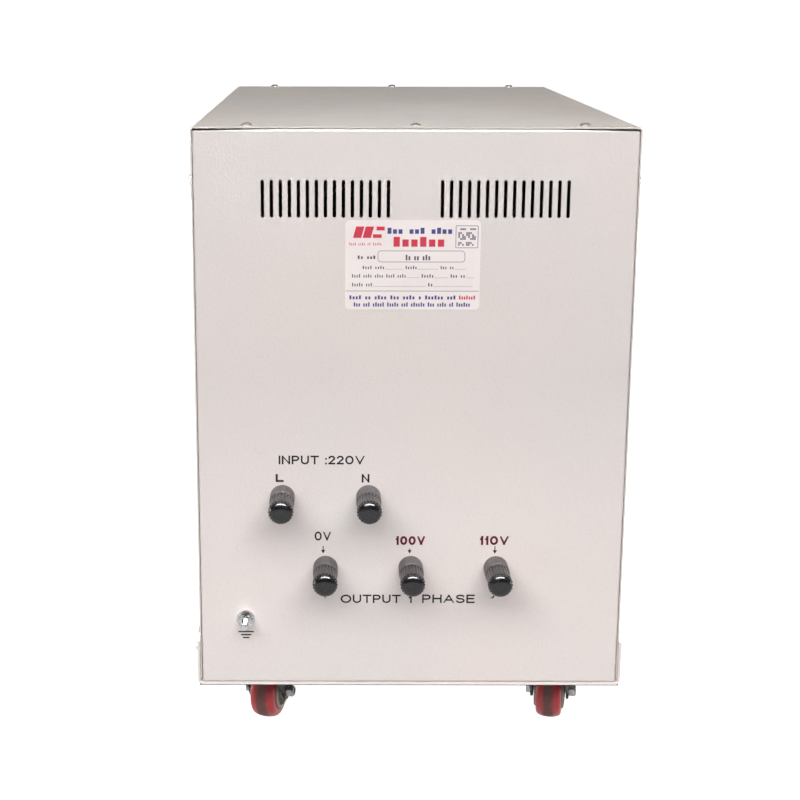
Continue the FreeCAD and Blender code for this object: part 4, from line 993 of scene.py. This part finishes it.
# text: its left, foot, right, top and stroke on the panel's face, in millimetres from the tray's middle
BLACK_LEGENDS = (
    ("INPUT :220V", (-107.8, 192.9, -38.3, 200.3), 1.4),
    ("L", (-110.4, 177.9, -103.9, 184.7), 1.75),
    ("N", (-40.6, 177.6, -34.3, 184.8), 1.5),
    ("0V", (-78.9, 127.7, -65.4, 135.5), 1.35),
    ("OUTPUT", (-57.5, 73.1, -7.8, 80.5), 1.35),
    ("1", (-1.4, 73.1, 1.4, 80.5), 1.35),
    ("PHASE", (9.9, 73.2, 53.4, 80.7), 1.35),
)
RED_LEGENDS = (
    ("100V", (-12.6, 124.0, 11.7, 131.7), 1.85),
    ("110V", (56.2, 124.1, 80.2, 131.9), 1.85),
)
# the arrows' middles, and how much of each shaft the screen printed
ARROWS = ((-71.9, 3.4), (-1.0, 1.2), (69.0, 3.4))
ARROW_FOOT = 116.4
# what shows of the marks behind the outer output posts
STRAY_MARKS = (
    ((-71.1, 79.8), (-70.5, 77.2), (-69.7, 77.2), (-70.2, 79.8)),
    ((65.4, 77.7), (68.8, 77.3), (69.8, 79.6), (68.7, 80.0), (67.9, 78.3)),
)


def draw_arrow(shape, x, shaft):
    """A small solid arrow that points down to a post."""
    head, half, stem, foot = 3.2, 1.75, 0.42, ARROW_FOOT
    points = [
        (x, foot),
        (x + half, foot + head),
        (x + stem, foot + head),
        (x + stem, foot + head + shaft),
        (x - stem, foot + head + shaft),
        (x - stem, foot + head),
        (x - half, foot + head),
    ]
    slab(shape, [(px * MM, py * MM) for px, py in points], PANEL_PRINT, PRINT)


def add_legends():
    """The input and output legends and the arrows, in black, with two of the voltages in dark red."""

    def draw(shape, legends):
        for text, box, weight in legends:
            draw_text(shape, text, [size * MM for size in box], weight * MM, PANEL_PRINT)

    def build_black(shape):
        draw(shape, BLACK_LEGENDS)
        for x, shaft in ARROWS:
            draw_arrow(shape, x, shaft)
        for points in STRAY_MARKS:
            slab(shape, [(x * MM, y * MM) for x, y in points], PANEL_PRINT, PRINT)

    def build_red(shape):
        draw(shape, RED_LEGENDS)

    black = mesh_from(build_black, "legends_black")
    piece("legends_black", black, "cabinet", "black_ink")
    red = mesh_from(build_red, "legends_red")
    piece("legends_red", red, "cabinet", "red_ink")


def add_earth_symbol():
    """Three bars of falling width under the earth stud."""
    low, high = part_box("earth_studs")
    x, z = low.x + 5.77 * MM, high.z - 5.0 * MM - TRAY_FOOT

    def build(shape):
        for width, drop in ((13.0, 10.9), (8.6, 13.6), (5.4, 16.2)):
            left, right = x - width / 2 * MM, x + width / 2 * MM
            top = z - drop * MM
            outline = round_rect(left, top - 1.1 * MM, right, top, 0.3 * MM, 3)
            slab(shape, outline, PANEL_PRINT, PRINT)

    piece("earth_symbol", mesh_from(build, "earth_symbol"), "cabinet", "black_ink")


def add_tray_lip_shadow():
    """A thin black strip under the tray's front lip, a painted shadow of the dark underside below it."""
    low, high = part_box("base_tray")
    x0, x1 = low.x + 1.0 * MM, high.x - 1.0 * MM
    y0, y1 = low.y + 0.3 * MM, low.y + 3.0 * MM
    place = Matrix.Translation((0, 0, TRAY_FOOT - 0.75 * MM))

    def build(shape):
        slab(shape, [(x0, y0), (x1, y0), (x1, y1), (x0, y1)], place, 0.74 * MM)

    piece("tray_lip_shadow_strip", mesh_from(build, "tray_lip_shadow_strip"), "cabinet", "rubber")


# ---------------------------------------------------------------- sticker
def add_sticker():
    """A plain service label: blocks, bars and ruled rows where a real one has its print."""
    middle = Vector((-1.5 * MM, PANEL_Y, TRAY_FOOT + 356.5 * MM))
    half_width, half_height = 53.0 * MM, 35.5 * MM
    stock = 0.12 * MM
    place = Matrix.Translation(middle + Vector((0, -0.01 * MM, 0))) @ FACING
    printed = Matrix.Translation(middle + Vector((0, -0.01 * MM - stock, 0))) @ FACING

    def bar(shape, x0, y0, x1, y1, radius=0.2):
        outline = round_rect(x0 * MM, y0 * MM, x1 * MM, y1 * MM, radius * MM, 2)
        slab(shape, outline, printed, PRINT)

    def frame_line(shape, x0, y0, x1, y1, width, radius):
        """A ruled frame with round corners."""
        rows = []
        for inset in (0.0, width):
            low = ((x0 + inset) * MM, (y0 + inset) * MM)
            high = ((x1 - inset) * MM, (y1 - inset) * MM)
            outline = round_rect(*low, *high, (radius - inset) * MM, 5)
            rows.append(
                [[shape.verts.new(printed @ Vector((x, y, z))) for z in (0, PRINT)] for x, y in outline]
            )
        outer, inner = rows
        for i in range(len(outer)):
            j = (i + 1) % len(outer)
            shape.faces.new((outer[i][1], outer[j][1], inner[j][1], inner[i][1]))
            shape.faces.new((outer[j][0], outer[i][0], inner[i][0], inner[j][0]))
            shape.faces.new((outer[i][0], outer[j][0], outer[j][1], outer[i][1]))
            shape.faces.new((inner[j][0], inner[i][0], inner[i][1], inner[j][1]))

    def words(shape, x0, x1, foot, top, lengths, weight=0.62):
        """Rows of short blocks, as many to a word as lengths says, where a real label has its letters."""
        cells = sum(lengths) + len(lengths) - 1
        pitch = (x1 - x0) / cells
        x = x0
        for word, length in enumerate(lengths):
            for i in range(length):
                tall = top if (i + word) % 3 == 0 else foot + (top - foot) * 0.74
                bar(shape, x + pitch * (1 - weight) / 2, foot, x + pitch * (1 + weight) / 2, tall, 0.08)
                x += pitch
            x += pitch

    def dots(shape, x0, x1, y):
        for i in range(int((x1 - x0) / 1.1)):
            bar(shape, x0 + 1.1 * i, y, x0 + 1.1 * i + 0.6, y + 0.35, 0.08)

    def sheet(shape):
        outline = round_rect(-half_width, -half_height, half_width, half_height, 3.5 * MM, 8)
        slab(shape, outline, place, stock)

    def red(shape):
        for x0, x1, y0, y1 in ((-47.0, -38.0, 21.5, 30.5), (-39.5, -30.5, 21.5, 30.5)):
            slant = 0.28 * (y1 - y0)
            outline = [(x0, y0), (x1 - slant, y0), (x1, y1), (x0 + slant, y1)]
            slab(shape, [(x * MM, y * MM) for x, y in outline], printed, PRINT)
        bar(shape, -31.4, 21.5, -24.5, 24.4)
        bar(shape, -28.6, 27.4, -22.2, 30.5)
        words(shape, -50.0, -24.5, 15.6, 17.9, (4, 4, 2, 5), 0.45)
        words(shape, -16.2, 25.4, 14.6, 22.4, (6,), 0.72)
        words(shape, 36.5, 49.8, -27.4, -24.2, (7,))

    def blue(shape):
        words(shape, -20.6, 31.0, 24.8, 29.6, (3, 3, 4), 0.72)
        words(shape, -50.0, 34.5, -27.4, -24.2, (4, 2, 4, 3, 4, 1, 6, 3))
        words(shape, -46.5, 45.8, -33.2, -29.8, (3, 3, 5, 5, 3, 6, 3, 4, 2, 6))

    def grey(shape):
        frame_line(shape, 33.3, 13.6, 51.0, 31.4, 0.45, 0.8)
        for row in range(9):
            for column in range(9):
                if (row * row + 3 * column + row * column) % 5 < 3:
                    x, y = 35.3 + column * 1.55, 15.5 + row * 1.55
                    bar(shape, x, y, x + 1.3, y + 1.3, 0.1)
        frame_line(shape, -27.5, 2.3, 41.0, 11.5, 0.40, 2.6)
        words(shape, -43.6, -29.0, 4.8, 7.6, (2, 3))
        words(shape, -6.0, 14.0, 3.9, 8.2, (2, 2, 3))
        for x0, x1, lengths in ((-39.7, -22.0, (4, 4)), (-6.0, 3.5, (5,)), (21.5, 32.5, (3, 2))):
            words(shape, x0, x1, -3.2, -0.6, lengths, 0.5)
        for x0, x1, lengths in ((-48.0, -5.0, (4, 4, 4, 4, 4)), (6.6, 16.8, (5,)), (29.4, 41.5, (3, 2))):
            words(shape, x0, x1, -10.0, -7.2, lengths, 0.5)
        for x0, x1, lengths in ((-48.0, -31.5, (5, 3)), (11.8, 16.2, (2,))):
            words(shape, x0, x1, -17.0, -14.2, lengths, 0.5)
        for x0, x1, y in (
            (-21.4, -7.0, -3.4),
            (4.0, 20.8, -3.4),
            (33.4, 43.0, -3.4),
            (-4.2, 6.0, -10.2),
            (17.4, 28.6, -10.2),
            (42.4, 49.0, -10.2),
            (-31.0, 11.0, -17.2),
            (16.8, 48.5, -17.2),
        ):
            dots(shape, x0, x1, y)
        bar(shape, -half_width / MM + 0.6, -20.9, half_width / MM - 0.6, -20.5, 0.1)

    piece("sticker", mesh_from(sheet, "sticker"), "cabinet", "paper")
    piece("sticker_red", mesh_from(red, "sticker_red"), "cabinet", "sticker_red")
    piece("sticker_blue", mesh_from(blue, "sticker_blue"), "cabinet", "sticker_blue")
    piece("sticker_grey", mesh_from(grey, "sticker_grey"), "cabinet", "sticker_grey")


# ---------------------------------------------------------------- control panel
NEEDLE_PIVOT = Vector(JOINTS["needle_sweep"]["pos_m"])


def add_dial_scale():
    """The voltmeter's printed scale, from 0 to 300 over a quarter turn."""
    face_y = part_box("voltmeter_dial")[1].y
    stand = Matrix.Translation((NEEDLE_PIVOT.x, face_y, NEEDLE_PIVOT.z)) @ REAR_FACING
    radius = 27.5 * MM
    start, sweep = 135.0, -90.0
    divisions = 30

    def build(shape):
        ends = [math.radians(start), math.radians(start + sweep)]
        outline = []
        steps = 48
        for r, order in ((radius, range(steps + 1)), (radius + 0.35 * MM, range(steps, -1, -1))):
            for i in order:
                angle = ends[0] + (ends[1] - ends[0]) * i / steps
                outline.append((r * math.cos(angle), r * math.sin(angle)))
        slab(shape, outline, stand, PRINT)
        for i in range(divisions + 1):
            angle = math.radians(start + sweep * i / divisions)
            major = i % 5 == 0
            length = (4.0 if major else 2.0) * MM
            half = (0.28 if major else 0.14) * MM
            spin = Matrix.Rotation(angle, 4, "Z")
            tick = [(radius, -half), (radius + length, -half), (radius + length, half), (radius, half)]
            slab(shape, tick, stand @ spin, PRINT)
            if i % 10 == 0:
                at = ((radius - 4.6 * MM) * math.cos(angle), (radius - 4.6 * MM) * math.sin(angle))
                text = str(i * 10)
                half_width = 0.95 * MM * len(text)
                box = (at[0] - half_width, at[1] - 1.5 * MM, at[0] + half_width, at[1] + 1.5 * MM)
                draw_text(shape, text, box, 0.4 * MM, stand)
        draw_text(shape, "V", (-2.5 * MM, 8.0 * MM, 2.5 * MM, 13.0 * MM), 0.7 * MM, stand)

    piece("dial_scale", mesh_from(build, "dial_scale"), "cabinet", "dial_ink")


def add_lamp_lens():
    """A domed lens with fine upright flutes round its side."""
    low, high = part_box("pilot_lamp_lens")
    middle = centre("pilot_lamp_lens")
    tall = high.y - low.y
    radius = (high.x - low.x) / 2
    flutes = 36
    outline = [(0.0, 0.0), (radius, 0.0), (radius, 2.6 * MM), (radius - 0.5 * MM, 3.0 * MM)]
    outline += [(radius - 0.5 * MM, 3.4 * MM), (radius - 0.7 * MM, 8.0 * MM)]
    dome_foot = 8.0 * MM
    for i in range(1, 13):
        angle = math.pi / 2 * i / 12
        rise = (tall - dome_foot) * math.sin(angle)
        outline.append(((radius - 0.7 * MM) * math.cos(angle), dome_foot + rise))
    outline[-1] = (0.0, tall)

    def reach(index, share):
        if not 4 <= index <= 9:
            return 1.0
        return 1.0 - 0.035 * abs(math.sin(math.pi * flutes * share))

    def build(shape):
        turn(shape, outline, along((middle.x, low.y, middle.z), (0, 1, 0)), flutes * 8, reach=reach)

    mesh = mesh_from(build, "fluted_lens", 50.0)
    piece("fluted_lens", mesh, "cabinet", "lens", ["pilot_lamp_lens"])


def add_control_print():
    """Plain marks by the breaker: a bar for on above it, a ring for off below it."""
    place = centre("breaker_case")
    half_nose = 22.5 * MM
    stand = Matrix.Translation((place.x, CONTROL_Y, place.z)) @ REAR_FACING

    def build(shape):
        lift = half_nose + 9.0 * MM
        bar = round_rect(-0.6 * MM, lift - 3.0 * MM, 0.6 * MM, lift + 3.0 * MM, 0.3 * MM, 3)
        slab(shape, bar, stand, PRINT)
        outer, inner, steps = 3.2 * MM, 2.1 * MM, 40
        for i in range(steps):
            a, b = 2 * math.pi * i / steps, 2 * math.pi * (i + 1) / steps
            corners = [(outer, a), (outer, b), (inner, b), (inner, a)]
            quad = [(r * math.cos(t), r * math.sin(t) - lift) for r, t in corners]
            slab(shape, quad, stand, PRINT)

    piece("breaker_marks", mesh_from(build, "breaker_marks"), "cabinet", "black_ink")


# ---------------------------------------------------------------- the whole
def main():
    add_camera()
    add_lights()
    add_floor()
    finish_nodes()
    for post in POSTS:
        add_cap(post)
    add_collars()
    add_earth_studs()
    for caster in CASTERS:
        add_tyre(caster)
        add_wheel_core(caster)
    add_legends()
    add_earth_symbol()
    add_tray_lip_shadow()
    add_sticker()
    add_dial_scale()
    add_lamp_lens()
    add_control_print()


main()
